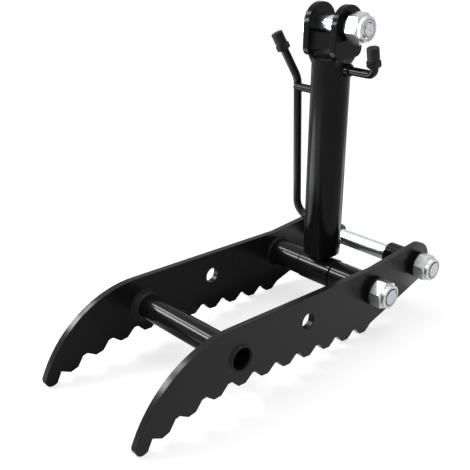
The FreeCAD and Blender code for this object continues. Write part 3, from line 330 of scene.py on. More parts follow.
@dataclass(frozen=True)
class ZincPlate:
    """Bright zinc plate: turned rings round an axis, drawn lines along it, a cold bloom, and a painted shade
    ring round the end face.
    """

    name: str
    frame: Matrix
    tint: Colour = (0.58, 0.575, 0.55)
    roughness: float = 0.36
    ring_depth: float = 0.000006
    end: float = 1.0
    end_spot: float = 0.0086
    end_tint: Colour = (0.56, 0.63, 0.65)
    ring_pitch: float = 0.0011

    def make(self) -> Material:
        """Make the plate's material.

        Returns:
            The material.
        """
        graph = Graph(self.name)
        local = graph.placed(self.frame)
        across, along, up = graph.parts(local)
        radius = (across * across + along * along) ** 0.5
        phase = radius * (FULL_TURN / self.ring_pitch)
        rings = (phase + graph.noise(500.0, 1.0, 0.5, local) * 2.0).sine() * 0.5 + 0.5
        turned = graph.noise(60.0, 3.0, 0.6, graph.placed(self.frame, 14.0))
        bloom = graph.noise(130.0, 4.0, 0.6)
        spots = graph.noise(700.0, 2.0).above(0.6, 0.75)
        cold = (self.tint[0] * 0.9, self.tint[1] * 0.97, self.tint[2] * 1.02)
        dull = dimmed(self.tint, 0.72)
        colour = graph.blend(bloom.above(0.35, 0.7), cold, self.tint)
        colour = graph.blend(spots * 0.45, colour, dull)
        colour = graph.blend(turned.above(0.46, 0.62) * 0.3, colour, dull)
        worn = dimmed(self.end_tint, 0.62)
        stub = graph.blend(graph.noise(620.0, 3.0, 0.6, local).above(0.42, 0.62), worn, self.end_tint)
        stub = graph.blend(rings.above(0.7, 1.0) * 0.35, stub, worn)
        colour = graph.blend(up.above(self.end - 0.0002, self.end), colour, stub)
        # Painted shade: a near-black ring round the end face, where its chamfer and groove turn away from
        # the light.
        painted_shade_ring = radius.above(self.end_spot, self.end_spot + 0.0003) * (1.0 - radius.above(
            self.end_spot + 0.0008, self.end_spot + 0.0011))
        colour = graph.blend(painted_shade_ring * up.above(self.end - 0.0004, self.end), colour, (0.02, 0.025, 0.03))
        gloss = self.roughness + (bloom - 0.5) * 0.16 + spots * 0.08 + (turned - 0.5) * 0.1
        normal = graph.bump(rings * 0.6 + turned * 0.5 + bloom * 0.4, self.ring_depth)
        return graph.finish(base_color=colour, metallic=1.0, roughness=gloss, normal=normal)


@dataclass(frozen=True)
class TurnedMetal:
    """Bare machined metal: fine feed marks across an axis and a little tarnish."""

    name: str
    frame: Matrix
    tint: Colour = (0.55, 0.55, 0.56)
    roughness: float = 0.28
    feed: float = 0.0007
    depth: float = 0.000006

    def make(self) -> Material:
        """Make the metal's material.

        Returns:
            The material.
        """
        graph = Graph(self.name)
        up = graph.parts(graph.placed(self.frame))[2]
        marks = (up * (FULL_TURN / self.feed)).sine() * 0.5 + 0.5
        tarnish = graph.noise(70.0, 4.0, 0.6)
        colour = graph.blend(tarnish.above(0.45, 0.8), self.tint, dimmed(self.tint, 0.7))
        gloss = self.roughness + (tarnish - 0.5) * 0.14
        normal = graph.bump(marks + tarnish * 0.4, self.depth)
        return graph.finish(base_color=colour, metallic=1.0, roughness=gloss, normal=normal)


@dataclass(frozen=True)
class ChromedRod:
    """Hard chrome, with the coat carried over the stub that showed when the closed cylinder was sprayed."""

    name: str
    frame: Matrix
    sprayed_to: float
    tone: float = 0.0042
    chrome: Colour = (0.75, 0.76, 0.78)

    def make(self) -> Material:
        """Make the rod's material.

        Returns:
            The material.
        """
        graph = Graph(self.name)
        up = graph.parts(graph.placed(self.frame))[2]
        ragged = up + (graph.noise(800.0, 2.0) - 0.5) * 0.0004
        bare = ragged.above(self.sprayed_to - 0.0001, self.sprayed_to + 0.0001)
        haze = graph.noise(60.0, 3.0)
        lines = graph.noise(90.0, 2.0, 0.5, graph.placed(self.frame, 60.0))
        colour = graph.blend(bare, grey(self.tone), self.chrome)
        gloss = 0.26 - bare * 0.18 + (haze - 0.5) * 0.05 + (lines - 0.5) * 0.04
        return graph.finish(
            base_color=colour, metallic=bare, roughness=gloss, normal=graph.bump(lines, 0.000002),
            specular_ior_level=0.15)


@dataclass(frozen=True)
class Moulding:
    """A moulded rubber or plastic: fine grain, mould haze and a dusty bloom."""

    name: str
    tone: Colour
    roughness: float
    grain: float = 0.00003
    scale: float = 1500.0
    shine: float = 0.4

    def make(self) -> Material:
        """Make the moulding's material.

        Returns:
            The material.
        """
        graph = Graph(self.name)
        haze = graph.noise(120.0, 4.0, 0.65)
        fine = graph.noise(self.scale, 3.0, 0.6)
        pale = tuple(min(1.0, part * 1.7 + 0.001) for part in self.tone)
        colour = graph.blend(haze.above(0.4, 0.75) * 0.6, self.tone, pale)
        gloss = self.roughness + (haze - 0.5) * 0.16 + (fine - 0.5) * 0.1
        normal = graph.bump(fine, self.grain)
        return graph.finish(base_color=colour, roughness=gloss, normal=normal, specular_ior_level=self.shine)


@dataclass(frozen=True)
class StudioPaper:
    """Plain paper for the floor and the round wall, and the painted shade of the dark sheets that only
    reflections show.
    """

    name: str
    dark: Colour
    pale: Colour
    glow: float

    def make(self) -> Material:
        """Make the paper's material.

        Returns:
            The material.
        """
        graph = Graph(self.name)
        colour = graph.blend(graph.noise(3.0, 2.0), self.dark, self.pale)
        return graph.finish(
            base_color=colour, roughness=0.8, emission_color=WHITE, emission_strength=self.glow)


# Meshes.


def new_object(name: str, mesh: Mesh) -> Piece:
    """Put a mesh in the scene.

    Args:
        name: The object's name.
        mesh: The mesh in metres. It is freed.

    Returns:
        The new object.
    """
    data = bpy.data.meshes.new(name)
    mesh.to_mesh(data)
    mesh.free()
    made = bpy.data.objects.new(name, data)
    bpy.context.scene.collection.objects.link(made)
    return made


def solid_piece(name: str, mesh: Mesh, place: Matrix, smooth: float = 32.0) -> Piece:
    """Turn a mesh in millimetres into a piece of the scene.

    Args:
        name: The piece's name.
        mesh: The mesh in its own frame, in millimetres. It is freed.
        place: The frame of the piece, with its origin in millimetres.
        smooth: Edges under this angle, in degrees, are shaded smooth.

    Returns:
        The piece, at the origin and unturned.
    """
    bmesh.ops.remove_doubles(mesh, verts=mesh.verts, dist=MERGE_WITHIN)
    bmesh.ops.transform(mesh, matrix=Matrix.Scale(MM, 4) @ place, verts=mesh.verts)
    bmesh.ops.recalc_face_normals(mesh, faces=mesh.faces)
    return link_mesh(name, mesh, smooth)


def link_mesh(name: str, mesh: Mesh, smooth: float) -> Piece:
    """Write a mesh in metres to a new object with sharp edges marked.

    Args:
        name: The piece's name.
        mesh: The mesh in metres. It is freed.
        smooth: Edges under this angle, in degrees, are shaded smooth.

    Returns:
        The new object.
    """
    for face in mesh.faces:
        face.smooth = True
    for edge in mesh.edges:
        if len(edge.link_faces) != 2 or edge.calc_face_angle(math.pi) > math.radians(smooth):
            edge.smooth = False
    piece = new_object(name, mesh)
    even = piece.modifiers.new("even_shading", "WEIGHTED_NORMAL")
    even.keep_sharp = True
    even.weight = 80
    LOG.info("%s: %d faces", name, len(piece.data.polygons))
    return piece


def turned_mesh(profile: Sequence[Point], steps: int = TURN_STEPS) -> Mesh:
    """Spin a closed profile of (radius, height) about the Z axis.

    Args:
        profile: The corners in order. Corners on the axis become a pole.
        steps: How many steps the full turn has.

    Returns:
        The mesh in millimetres.
    """
    mesh = bmesh.new()
    corners = [mesh.verts.new((radius, 0.0, height)) for radius, height in profile]
    edges = [mesh.edges.new((first, second)) for first, second in zip(corners, corners[1:] + corners[:1])
             if first.co.x > 0.0 or second.co.x > 0.0]
    bmesh.ops.spin(mesh, geom=corners + edges, cent=(0, 0, 0), axis=(0, 0, 1), angle=FULL_TURN,
                   steps=steps, use_merge=True, use_duplicate=False)
    bmesh.ops.remove_doubles(mesh, verts=mesh.verts, dist=MERGE_WITHIN)
    bmesh.ops.recalc_face_normals(mesh, faces=mesh.faces)
    return mesh


def soften(mesh: Mesh, width: float, over: float = 35.0) -> None:
    """Round the sharp edges of a mesh.

    Args:
        mesh: The mesh, changed in place.
        width: The width of the rounding, in the mesh's units.
        over: Only edges sharper than this angle, in degrees.
    """
    sharp = [edge for edge in mesh.edges
             if len(edge.link_faces) == 2 and edge.calc_face_angle(0.0) > math.radians(over)]
    bmesh.ops.bevel(mesh, geom=sharp, offset=width, offset_type="OFFSET", affect="EDGES", segments=2,
                    profile=0.5, material=-1, clamp_overlap=True)


def merged_copy(node: Piece, round_off: float, over: float = 35.0) -> Mesh:
    """A copy of a CAD node's mesh, merged, its flats joined and its edges rounded.

    Args:
        node: The CAD node.
        round_off: The width of the rounding, in metres.
        over: Only edges sharper than this angle, in degrees, are rounded.

    Returns:
        The mesh in metres.
    """
    mesh = bmesh.new()
    mesh.from_mesh(node.data)
    bmesh.ops.remove_doubles(mesh, verts=mesh.verts, dist=CAD_MERGE_WITHIN)
    bmesh.ops.dissolve_degenerate(mesh, edges=mesh.edges, dist=CAD_MERGE_WITHIN)
    bmesh.ops.dissolve_limit(mesh, angle_limit=math.radians(CAD_FLAT_WITHIN), verts=mesh.verts,
                             edges=mesh.edges, use_dissolve_boundaries=False)
    if round_off > 0:
        soften(mesh, round_off, over)
    bmesh.ops.recalc_face_normals(mesh, faces=mesh.faces)
    return mesh


def heading(point: Vector, way: Vector) -> Matrix:
    """A frame at a point whose Z runs along a direction."""
    return Matrix.Translation(point) @ way.to_track_quat("Z", "Y").to_matrix().to_4x4()


def swept_mesh(corners: Sequence[Vector], radii: Sequence[float], radius: float, steps: int = 40) -> Mesh:
    """A round bar swept along straight runs joined by bends.

    Args:
        corners: The ends and the corners of the run, in millimetres.
        radii: The bend radius at each inner corner.
        radius: The bar's own radius.
        steps: Sides of the bar.

    Returns:
        The mesh in millimetres, with its two ends closed.
    """
    mesh = bmesh.new()
    way = (corners[1] - corners[0]).normalized()
    ring = bmesh.ops.create_circle(mesh, cap_ends=False, segments=steps, radius=radius,
                                   matrix=heading(corners[0], way))
    edges = list({edge for vertex in ring["verts"] for edge in vertex.link_edges})
    here = corners[0]
    for corner, onward, bend in zip(corners[1:-1], corners[2:], radii):
        after = (onward - corner).normalized()
        angle = way.angle(after)
        reach = bend * math.tan(angle / 2)
        stop = corner - way * reach
        edges = _run(mesh, edges, stop - here)
        axis = way.cross(after).normalized()
        centre = stop + axis.cross(way).normalized() * bend
        spun = bmesh.ops.spin(mesh, geom=edges + list({v for e in edges for v in e.verts}), cent=centre,
                              axis=axis, angle=angle, steps=max(6, int(math.degrees(angle) / 5)),
                              use_merge=False, use_duplicate=False)
        edges = [item for item in spun["geom_last"] if isinstance(item, Edge)]
        here = corner + after * reach
        way = after
    _run(mesh, edges, corners[-1] - here)
    bmesh.ops.remove_doubles(mesh, verts=mesh.verts, dist=MERGE_WITHIN)
    bmesh.ops.holes_fill(mesh, edges=[edge for edge in mesh.edges if edge.is_boundary], sides=0)
    bmesh.ops.recalc_face_normals(mesh, faces=mesh.faces)
    return mesh


def _run(mesh: Mesh, edges: Sequence[Edge], step: Vector) -> list[Edge]:
    """Extrude a ring of edges along a straight run.

    Args:
        mesh: The mesh, changed in place.
        edges: The ring's edges.
        step: The run.

    Returns:
        The edges of the new ring.
    """
    grown = bmesh.ops.extrude_edge_only(mesh, edges=list(edges))
    verts = [item for item in grown["geom"] if isinstance(item, bmesh.types.BMVert)]
    bmesh.ops.translate(mesh, verts=verts, vec=step)
    return [item for item in grown["geom"]
            if isinstance(item, Edge) and item.is_boundary and all(vertex in verts for vertex in item.verts)]


def bead_mesh(radius: float, leg: float, ripples: int) -> Mesh:
    """A rippled fillet bead round a tube, on the plane of height nought.

    Args:
        radius: The bead's inner radius.
        leg: The bead's leg.
        ripples: How many ripples go round.

    Returns:
        The mesh in millimetres.
    """
    profile = [(radius, 0.0), (radius + leg, 0.0), (radius + 0.66 * leg, 0.24 * leg),
               (radius + 0.42 * leg, 0.42 * leg), (radius + 0.24 * leg, 0.66 * leg), (radius, leg)]
    mesh = turned_mesh(profile, ripples * 6)
    ripple = 0.05 * leg
    for vertex in mesh.verts:
        x, y, z = vertex.co
        across = math.hypot(x, y)
        if min(across - radius, z) / leg > 0.05:
            shift = ripple * math.sin(math.atan2(y, x) * ripples + 4.0 * z / leg)
            away = Vector((x / across, y / across, 1.0)).normalized()
            vertex.co += away * (shift - ripple)
    return mesh


def joined(name: str, parts: Sequence[tuple[Mesh, Matrix]]) -> Piece:
    """One piece from several separate meshes.

    Args:
        name: The piece's name.
        parts: Meshes in millimetres, each with its frame. They are freed.

    Returns:
        The piece.
    """
    whole = bmesh.new()
    for mesh, place in parts:
        bmesh.ops.transform(mesh, matrix=place, verts=mesh.verts)
        bmesh.ops.recalc_face_normals(mesh, faces=mesh.faces)
        data = bpy.data.meshes.new(name + "_part")
        mesh.to_mesh(data)
        mesh.free()
        whole.from_mesh(data)
        bpy.data.meshes.remove(data)
    return solid_piece(name, whole, Matrix.Identity(4), 50.0)


def hexagon_cut(mesh: Mesh, flats: float, top: float, turn: float = 0.0) -> None:
    """Cut a turned mesh below a height to six flats, close the cuts and turn the whole about its axis.

    Args:
        mesh: The turned mesh, changed in place.
        flats: The distance across the flats.
        top: Only what is below this height is cut.
        turn: How far the hexagon is turned about the axis, in degrees.
    """
    for number in range(6):
        angle = math.radians(60 * number)
        outward = Vector((math.cos(angle), math.sin(angle), 0.0))
        near = [face for face in mesh.faces if face.calc_center_median().z < top + 10 * CUT_WITHIN]
        edges = list({edge for face in near for edge in face.edges})
        verts = list({vertex for face in near for vertex in face.verts})
        cut = bmesh.ops.bisect_plane(mesh, geom=near + edges + verts, dist=CUT_WITHIN,
                                     plane_co=outward * flats / 2, plane_no=outward, clear_outer=True)
        rim = [item for item in cut["geom_cut"] if isinstance(item, Edge)]
        bmesh.ops.remove_doubles(mesh, verts=list({v for e in rim for v in e.verts}), dist=CUT_WITHIN)
        rim = [edge for edge in mesh.edges if edge.is_boundary]
        bmesh.ops.holes_fill(mesh, edges=rim, sides=0)
    about = Matrix.Rotation(math.radians(turn), 3, "Z")
    bmesh.ops.rotate(mesh, verts=mesh.verts, cent=(0, 0, 0), matrix=about)


# Where things are.


@dataclass(frozen=True)
class Layout:
    """The stand of the plates and the lean of the cylinder, in millimetres and degrees."""

    stand: float = 5.436
    pivot_forward: float = 84.5
    pivot_drop: float = 15.0
    lean: float = 5.95
    bush_face: float = 86.0
    inner_face: float = 72.0

    def plate(self) -> Matrix:
        """The plates' frame."""
        return Matrix.Rotation(math.radians(-self.stand), 4, "Y")

    def cylinder(self) -> Matrix:
        """Work out the cylinder's frame.

        Returns:
            The frame, with its origin in the lower pivot and its Z up the barrel.
        """
        pivot = self.plate() @ Vector((self.pivot_forward, 0.0, -self.pivot_drop))
        turn = Matrix.Rotation(math.radians(self.lean - self.stand), 4, "Y")
        return Matrix.Translation(pivot) @ turn

    def across(self, frame: Matrix, x: float, z: float, offset: float, side: Side = Side.LEFT) -> Matrix:
        """A frame at x and z of another one, offset from the middle to a side, where its Z points."""
        turn = Matrix.Rotation(math.radians(-90.0 * side.value), 4, "X")
        return frame @ Matrix.Translation((x, side.value * offset, z)) @ turn

    def inside_plate(self, x: float, z: float, side: Side) -> Matrix:
        """A frame on a plate's inner face, whose Z runs towards the middle of the part."""
        return self.across(self.plate(), x, z, self.inner_face, side) @ Matrix.Rotation(math.pi, 4, "X")


# Sub-assemblies.


class SubAssembly:
    """What the sub-assemblies share: how a piece is put in, and how a node is dressed."""

    def add(self, piece: Piece, material: Material, body: str, slot: str, node: str) -> None:
        """Dress a piece, let it ride and hide the node it stands for.

        Args:
            piece: The piece, in place.
            material: Its finish.
            body: The body that it rides on.
            slot: The record's material slot; not used.
            node: The CAD node that it stands for.
        """
        piece.data.materials.append(material)
        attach(piece, body)
        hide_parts(node)

    def repaint(self, nodes: Nodes, names: Iterable[str], material: Material) -> None:
        """Give CAD nodes that stay a finish.

        Args:
            nodes: All CAD nodes by name.
            names: The nodes to dress.
            material: Their finish.
        """
        for name in names:
            data = nodes[name].data
            data.materials.clear()
            data.materials.append(material)
            LOG.info("%s keeps its shape", name)


@dataclass
class SidePlates(SubAssembly):
    """The two toothed side plates: laser-cut edges with a small break under the coat."""

    edge_break: float = 0.7

    def build(self, nodes: Nodes, coat: Material) -> None:
        """Make both plates.

        Args:
            nodes: All CAD nodes by name.
            coat: The powder coat.
        """
        for side in ("left", "right"):
            node = "side_plate_" + side
            mesh = merged_copy(nodes[node], self.edge_break * MM)
            plate = link_mesh("plate_" + side, mesh, 40.0)
            self.add(plate, coat, "thumb_frame", "black_coat", node)


@dataclass
class CrossTube(SubAssembly):
    """The tube between the tips, welded inside and outside each plate."""

    layout: Layout
    forward: float = 298.7
    drop: float = 36.0
    radius: float = 14.0
    wall: float = 2.0
    half_length: float = 82.0
    outer_face: float = 80.0
    inner_leg: float = 6.0
    outer_leg: float = 2.4
    ripples: int = 40

    def build(self, coat: Material) -> None:
        """Make the tube and its four beads.

        Args:
            coat: The powder coat.
        """
        plates = self.layout.plate()
        frame = self.layout.across(plates, self.forward, -self.drop, 0.0)
        bore = self.radius - self.wall
        mesh = turned_mesh([(bore, -self.half_length), (self.radius, -self.half_length),
                            (self.radius, self.half_length), (bore, self.half_length)])
        soften(mesh, 0.45)
        self.add(solid_piece("tube", mesh, frame), coat, "thumb_frame", "black_coat", "cross_tube")
        weld = WeldCoat("tube_weld_coat", frame, self.ripples).make()
        beads = []
        for side in Side:
            inner = self.layout.inside_plate(self.forward, -self.drop, side)
            outer = self.layout.across(plates, self.forward, -self.drop, self.outer_face, side)
            for leg, place in ((self.inner_leg, inner), (self.outer_leg, outer)):
                beads.append((bead_mesh(self.radius + WELD_GAP, leg, self.ripples), place))
        self.add(joined("tube_welds", beads), weld, "thumb_frame", "black_coat", "cross_tube_welds")


@dataclass
class PivotBushes(SubAssembly):
    """The four bushes that carry the two pivots, with their beads on the plates."""

    layout: Layout
    bore: float = 10.1
    rear_radius: float = 15.0
    rear_start: float = 40.0
    lower_radius: float = 17.0
    lower_start: float = 25.0
    leg: float = 2.5
    ripples: int = 44

    def build(self, coat: Material) -> None:
        """Make the bushes and their beads.

        Args:
            coat: The powder coat.
        """
        forward, drop = self.layout.pivot_forward, self.layout.pivot_drop
        seats = {"rear": (0.0, 0.0, self.rear_radius, self.rear_start),
                 "lower": (forward, -drop, self.lower_radius, self.lower_start)}
        beads = []
        plates = self.layout.plate()
        for name, (x, z, radius, start) in seats.items():
            for side in Side:
                frame = self.layout.across(plates, x, z, start, side)
                length = self.layout.bush_face - start
                mesh = turned_mesh([(self.bore, 0.0), (radius, 0.0), (radius, length), (self.bore, length)])
                soften(mesh, 0.6)
                hand = side.name.lower()
                piece = solid_piece("boss_%s_%s" % (name, hand), mesh, frame)
                self.add(piece, coat, "thumb_frame", "black_coat", "%s_bush_%s" % (name, hand))
                bead = bead_mesh(radius + WELD_GAP, self.leg, self.ripples)
                beads.append((bead, self.layout.inside_plate(x, z, side)))
        frame = self.layout.across(plates, forward, -drop, 0.0)
        weld = WeldCoat("bush_weld_coat", frame, self.ripples).make()
        self.add(joined("boss_welds", beads), weld, "thumb_frame", "black_coat", "bush_welds")


@dataclass
class PinnedJoint(SubAssembly):
    """A bolt with its lock nut and the nylon ring in the nut's collar."""

    name: str
    body: str
    head_frame: Matrix
    nut_frame: Matrix
    length: float
    flats: float = 30.0
    head_turn: float = 12.0
    nut_turn: float = 18.5
    end_spot: float = 0.0
    head_height: float = 10.0
    shank: float = 10.0
    hexagon: float = 14.5
    nut_height: float = 20.0
    collar: float = 14.0
    recess: float = 11.4
    thread_pitch: float = 1.5
    thread_depth: float = 0.75
    thread_past_nut: float = 6.0
    washer_face: float = 0.6
    collar_step: float = 0.25

    def hexagon_corner(self) -> Point:
        """The radius of the hexagon's corners, and how far its 30 degree chamfer falls to them."""
        corner = self.flats / math.sqrt(3.0)
        return corner, (corner - self.flats / 2) * math.tan(math.radians(30.0))

    def bolt_mesh(self) -> Mesh:
        """Make the bolt: chamfered head, shank, thread grooves under the nut, and a chamfered end.

        Returns:
            The mesh in millimetres.
        """
        corner, fall = self.hexagon_corner()
        half = self.flats / 2
        low = -self.head_height
        end = self.length
        pitch = self.thread_pitch
        first = end - self.nut_height - self.thread_past_nut
        root = self.shank - self.thread_depth
        crest = self.shank - 0.05
        profile = [(0.0, low + 0.5), (half - 4.0, low + 0.5), (half - 3.4, low), (half - 0.2, low),
                   (corner, low + fall), (corner, -self.washer_face), (half - 0.3, -self.washer_face),
                   (half - 0.3, 0.0), (self.shank, 0.0), (self.shank, first)]
        height = first + 0.4
        while height + pitch < end - 2.2:
            profile += [(root, height + 0.35), (root, height + 0.6), (crest, height + 1.15),
                        (crest, height + pitch)]
            height += pitch
        if self.end_spot:
            spot = self.end_spot
            profile += [(self.shank, end - 1.6), (self.shank - 0.9, end - 0.8), (spot + 0.4, end - 0.8),
                        (spot, end - 0.1), (spot - 0.4, end)]
        else:
            profile += [(self.shank, end - 1.5), (self.shank - 0.9, end - 0.4), (self.shank - 1.5, end)]
        profile += [(1.2, end), (0.0, end - 0.7)]
        mesh = turned_mesh(profile)
        hexagon_cut(mesh, self.flats, -self.washer_face, self.head_turn)
        return mesh

    def nut_mesh(self) -> Mesh:
        """Make the nut: chamfered hexagon and a collar with a rolled lip over the nylon ring.

        Returns:
            The mesh in millimetres.
        """
        corner, fall = self.hexagon_corner()
        face = self.flats / 2 - 0.4
        top = self.nut_height
        bore = self.shank + 0.02
        collar = self.collar
        shoulder = self.hexagon + self.collar_step
        profile = [(bore, 0.0), (face, 0.0), (corner, fall), (corner, self.hexagon - fall),
                   (face, self.hexagon), (collar, shoulder), (collar, top - 1.6), (collar - 0.15, top - 1.1),
                   (collar - 0.5, top - 0.68), (collar - 1.0, top - 0.45), (collar - 1.6, top - 0.4),
                   (self.recess, top - 0.55), (self.recess, top - 4.0), (bore, top - 4.0)]
        mesh = turned_mesh(profile)
        hexagon_cut(mesh, self.flats, shoulder, self.nut_turn)
        return mesh

    def build(self, nylon: Material) -> None:
        """Make the three pieces.

        Args:
            nylon: The ring's material.
        """
        zinc = ZincPlate(self.name + "_zinc", self.nut_frame).make()
        shank = ZincPlate(self.name + "_shank_zinc", self.head_frame, tint=(0.72, 0.74, 0.75), roughness=0.2,
                          ring_depth=0.000004, end=(self.length - 1.6) * MM,
                          end_spot=((self.end_spot or 8.7) + 0.1) * MM).make()
        bolt = solid_piece(self.name + "_pin", self.bolt_mesh(), self.head_frame, 28.0)
        self.add(bolt, shank, self.body, "zinc", self.name + "_bolt")
        nut = solid_piece(self.name + "_lock_nut", self.nut_mesh(), self.nut_frame, 28.0)
        self.add(nut, zinc, self.body, "zinc", self.name + "_nut")
        top = self.nut_height - 0.9
        ring = turned_mesh([(self.shank + 0.05, top - 3.1), (self.recess - 0.05, top - 3.1),
                            (self.recess - 0.05, top - 0.2), (self.recess - 0.5, top),
                            (self.shank + 0.3, top), (self.shank + 0.05, top - 0.25)])
        piece = solid_piece(self.name + "_nylon", ring, self.nut_frame, 40.0)
        self.add(piece, nylon, self.body, "nylon", self.name + "_nut_ring")


@dataclass
class Cylinder(SubAssembly):
    """The hydraulic cylinder: barrel, gland, cap, ears and, inside, rod, piston and seals."""

    layout: Layout
    sprayed_stub: float = 23.6

    def build(self, nodes: Nodes, coat: Material) -> None:
        """Make the outside and dress the inside.

        Args:
            nodes: All CAD nodes by name.
            coat: The powder coat.
        """
        frame = self.layout.cylinder()
        # The cylinder's coat is the plates' black painted darker, as painted shade; its smoother gloss and
        # lower shine are its own.
        shaded_barrel_coat = PowderCoat("shaded_barrel_powder_coat", tone=0.0026, roughness=0.16, peel=0.000007,
                                 shine=0.09).make()
        for node, piece, width in (
                ("barrel_tube", "barrel", 0.4), ("gland", "gland_ring", 0.4), ("end_cap", "cap_disc", 0.3),
                ("clevis_ear_left", "ear_left", 0.9), ("clevis_ear_right", "ear_right", 0.9),
                ("upper_port_boss", "port_upper", 0.4), ("lower_port_boss", "port_lower", 0.25),
                ("line_standoff", "standoff", 0.3)):
            mesh = merged_copy(nodes[node], width * MM, 50.0)
            self.add(link_mesh(piece, mesh, 30.0), shaded_barrel_coat, "barrel", "black_coat", node)
        mesh = merged_copy(nodes["rod_eye"], 0.0)
        self.add(link_mesh("eye_boss", mesh, 30.0), coat, "rod", "black_coat", "rod_eye")
        # The clevis welds' coat has the cylinder's darker tone: painted shade.
        for finish, names in (
                (WeldCoat("shaded_clevis_weld_coat", frame, 60, tone=0.0026, roughness=0.25), ["clevis_welds"]),
                (ChromedRod("hard_chrome", frame, self.sprayed_stub * MM), ["piston_rod"]),
                (TurnedMetal("turned_steel", frame), ["piston", "piston_nut"]),
                (TurnedMetal("sintered_bronze", frame, (0.62, 0.42, 0.2), 0.36), ["rod_eye_bush"]),
                (Moulding("seal_polyurethane", (0.02, 0.045, 0.12), 0.4),
                 ["piston_seal", "rod_seal", "rod_wiper"]),
                (Moulding("nitrile", grey(0.012), 0.5), ["gland_o_ring"]),
                (Moulding("acetal", (0.7, 0.66, 0.55), 0.45), ["piston_wear_ring"])):
            self.repaint(nodes, names, finish.make())


@dataclass
class HardLines(SubAssembly):
    """The two steel lines, each with its fitting and push-on dust cap."""

    layout: Layout
    diameter: float = 9.5
    upper_port: float = 246.5
    lower_port: float = 62.5
    upper_reach: float = 59.3
    upper_start: float = 28.0
    upper_bend: float = 8.0
    upper_forward: float = 12.5
    upper_rise: float = 0.5
    lower_reach: float = 41.4
    lower_start: float = 24.0
    lower_bend: float = 18.0
    lower_lean: float = 2.4
    lower_top: float = 227.0
    lower_top_bend: float = 30.0
    lower_out: float = 19.7
    lower_forward: float = 19.8
    lower_tail: float = 28.8
    collar_flats: float = 13.8
    collar_length: float = 8.0
    fitting_bore: float = 2.5
    stub_radius: float = 5.3
    stub_length: float = 11.8
    cap_length: float = 14.0
    cap_clearance: float = 0.15
    cap_wall: float = 1.35

    def upper_route(self) -> tuple[list[Vector], list[float]]:
        """Work out the upper line's way.

        Returns:
            Its corners in the cylinder's frame, and the bend radius at each inner one.
        """
        lean = math.radians(self.upper_forward)
        way = Vector((math.sin(lean), 0.0, math.cos(lean)))
        corner = Vector((0.0, self.upper_reach, self.upper_port))
        start = Vector((0.0, self.upper_start, self.upper_port))
        return [start, corner, corner + way * (self.upper_bend + self.upper_rise)], [self.upper_bend]

    def lower_route(self) -> tuple[list[Vector], list[float]]:
        """Work out the lower line's way.

        Returns:
            Its corners in the cylinder's frame, and the bend radius at each inner one.
        """
        lean = math.radians(self.lower_lean)
        rise = Vector((0.0, -math.sin(lean), math.cos(lean)))
        start = Vector((0.0, -self.lower_start, self.lower_port))
        corner = Vector((0.0, -self.lower_reach, self.lower_port))
        knee = corner + rise * ((self.lower_top - self.lower_port) / math.cos(lean))
        ahead, aside = math.radians(self.lower_forward), math.radians(self.lower_out)
        out = Vector((math.sin(ahead), -math.sin(aside), math.cos(aside))).normalized()
        tangent = self.lower_top_bend * math.tan(rise.angle(out) / 2)
        end = knee + out * (tangent + self.lower_tail)
        return [start, corner, knee, end], [self.lower_bend, self.lower_top_bend]

    def fitting_mesh(self) -> Mesh:
        """Make the hexagon that tapers to the tube, and the stub under the cap.

        Returns:
            The mesh in millimetres.
        """
        corner = self.collar_flats / math.sqrt(3.0)
        taper = (corner - self.diameter / 2) * 0.5
        top = self.collar_length
        stub = self.stub_radius
        end = top + self.stub_length
        profile = [(self.fitting_bore, 0.0), (self.diameter / 2, 0.0), (corner, taper), (corner, top - 0.8),
                   (self.collar_flats / 2 - 0.1, top), (stub, top), (stub, end - 1.2), (stub - 1.2, end),
                   (self.fitting_bore, end)]
        mesh = turned_mesh(profile, SMALL_TURN_STEPS)
        hexagon_cut(mesh, self.collar_flats, top)
        return mesh

    def cap_mesh(self) -> Mesh:
        """Make the cup with a soft rim and a domed end.

        Returns:
            The mesh in millimetres.
        """
        inner = self.stub_radius + self.cap_clearance
        outer = inner + self.cap_wall
        foot = self.collar_length + 0.3
        top = foot + self.cap_length
        profile = [(inner, foot), (outer - 0.5, foot), (outer - 0.12, foot + 0.2), (outer, foot + 0.6),
                   (outer, top - 1.6), (outer - 0.12, top - 0.95), (outer - 0.45, top - 0.45),
                   (outer - 0.95, top - 0.12), (outer - 1.6, top), (0.0, top), (0.0, top - 2.0),
                   (inner, top - 2.0)]
        return turned_mesh(profile, SMALL_TURN_STEPS)

    def build(self, coat: Material, plastic: Material) -> None:
        """Make both lines.

        Args:
            coat: The powder coat.
            plastic: The dust caps' material.
        """
        cylinder = self.layout.cylinder()
        dull_coat = PowderCoat("fitting_powder_coat", tone=0.0045, roughness=0.46, peel=0.00002,
                               shine=0.12).make()
        for name, (corners, radii) in (("upper", self.upper_route()), ("lower", self.lower_route())):
            piece = solid_piece(name + "_pipe", swept_mesh(corners, radii, self.diameter / 2), cylinder)
            self.add(piece, coat, "barrel", "black_coat", name + "_line")
            way = (corners[-1] - corners[-2]).normalized()
            frame = cylinder @ heading(corners[-1], way)
            piece = solid_piece(name + "_fitting", self.fitting_mesh(), frame, 28.0)
            self.add(piece, dull_coat, "barrel", "black_coat", name + "_line_fitting")
            piece = solid_piece(name + "_cap_cup", self.cap_mesh(), frame, 40.0)
            self.add(piece, plastic, name + "_cap", "cap_plastic", name + "_dust_cap")


# The studio.


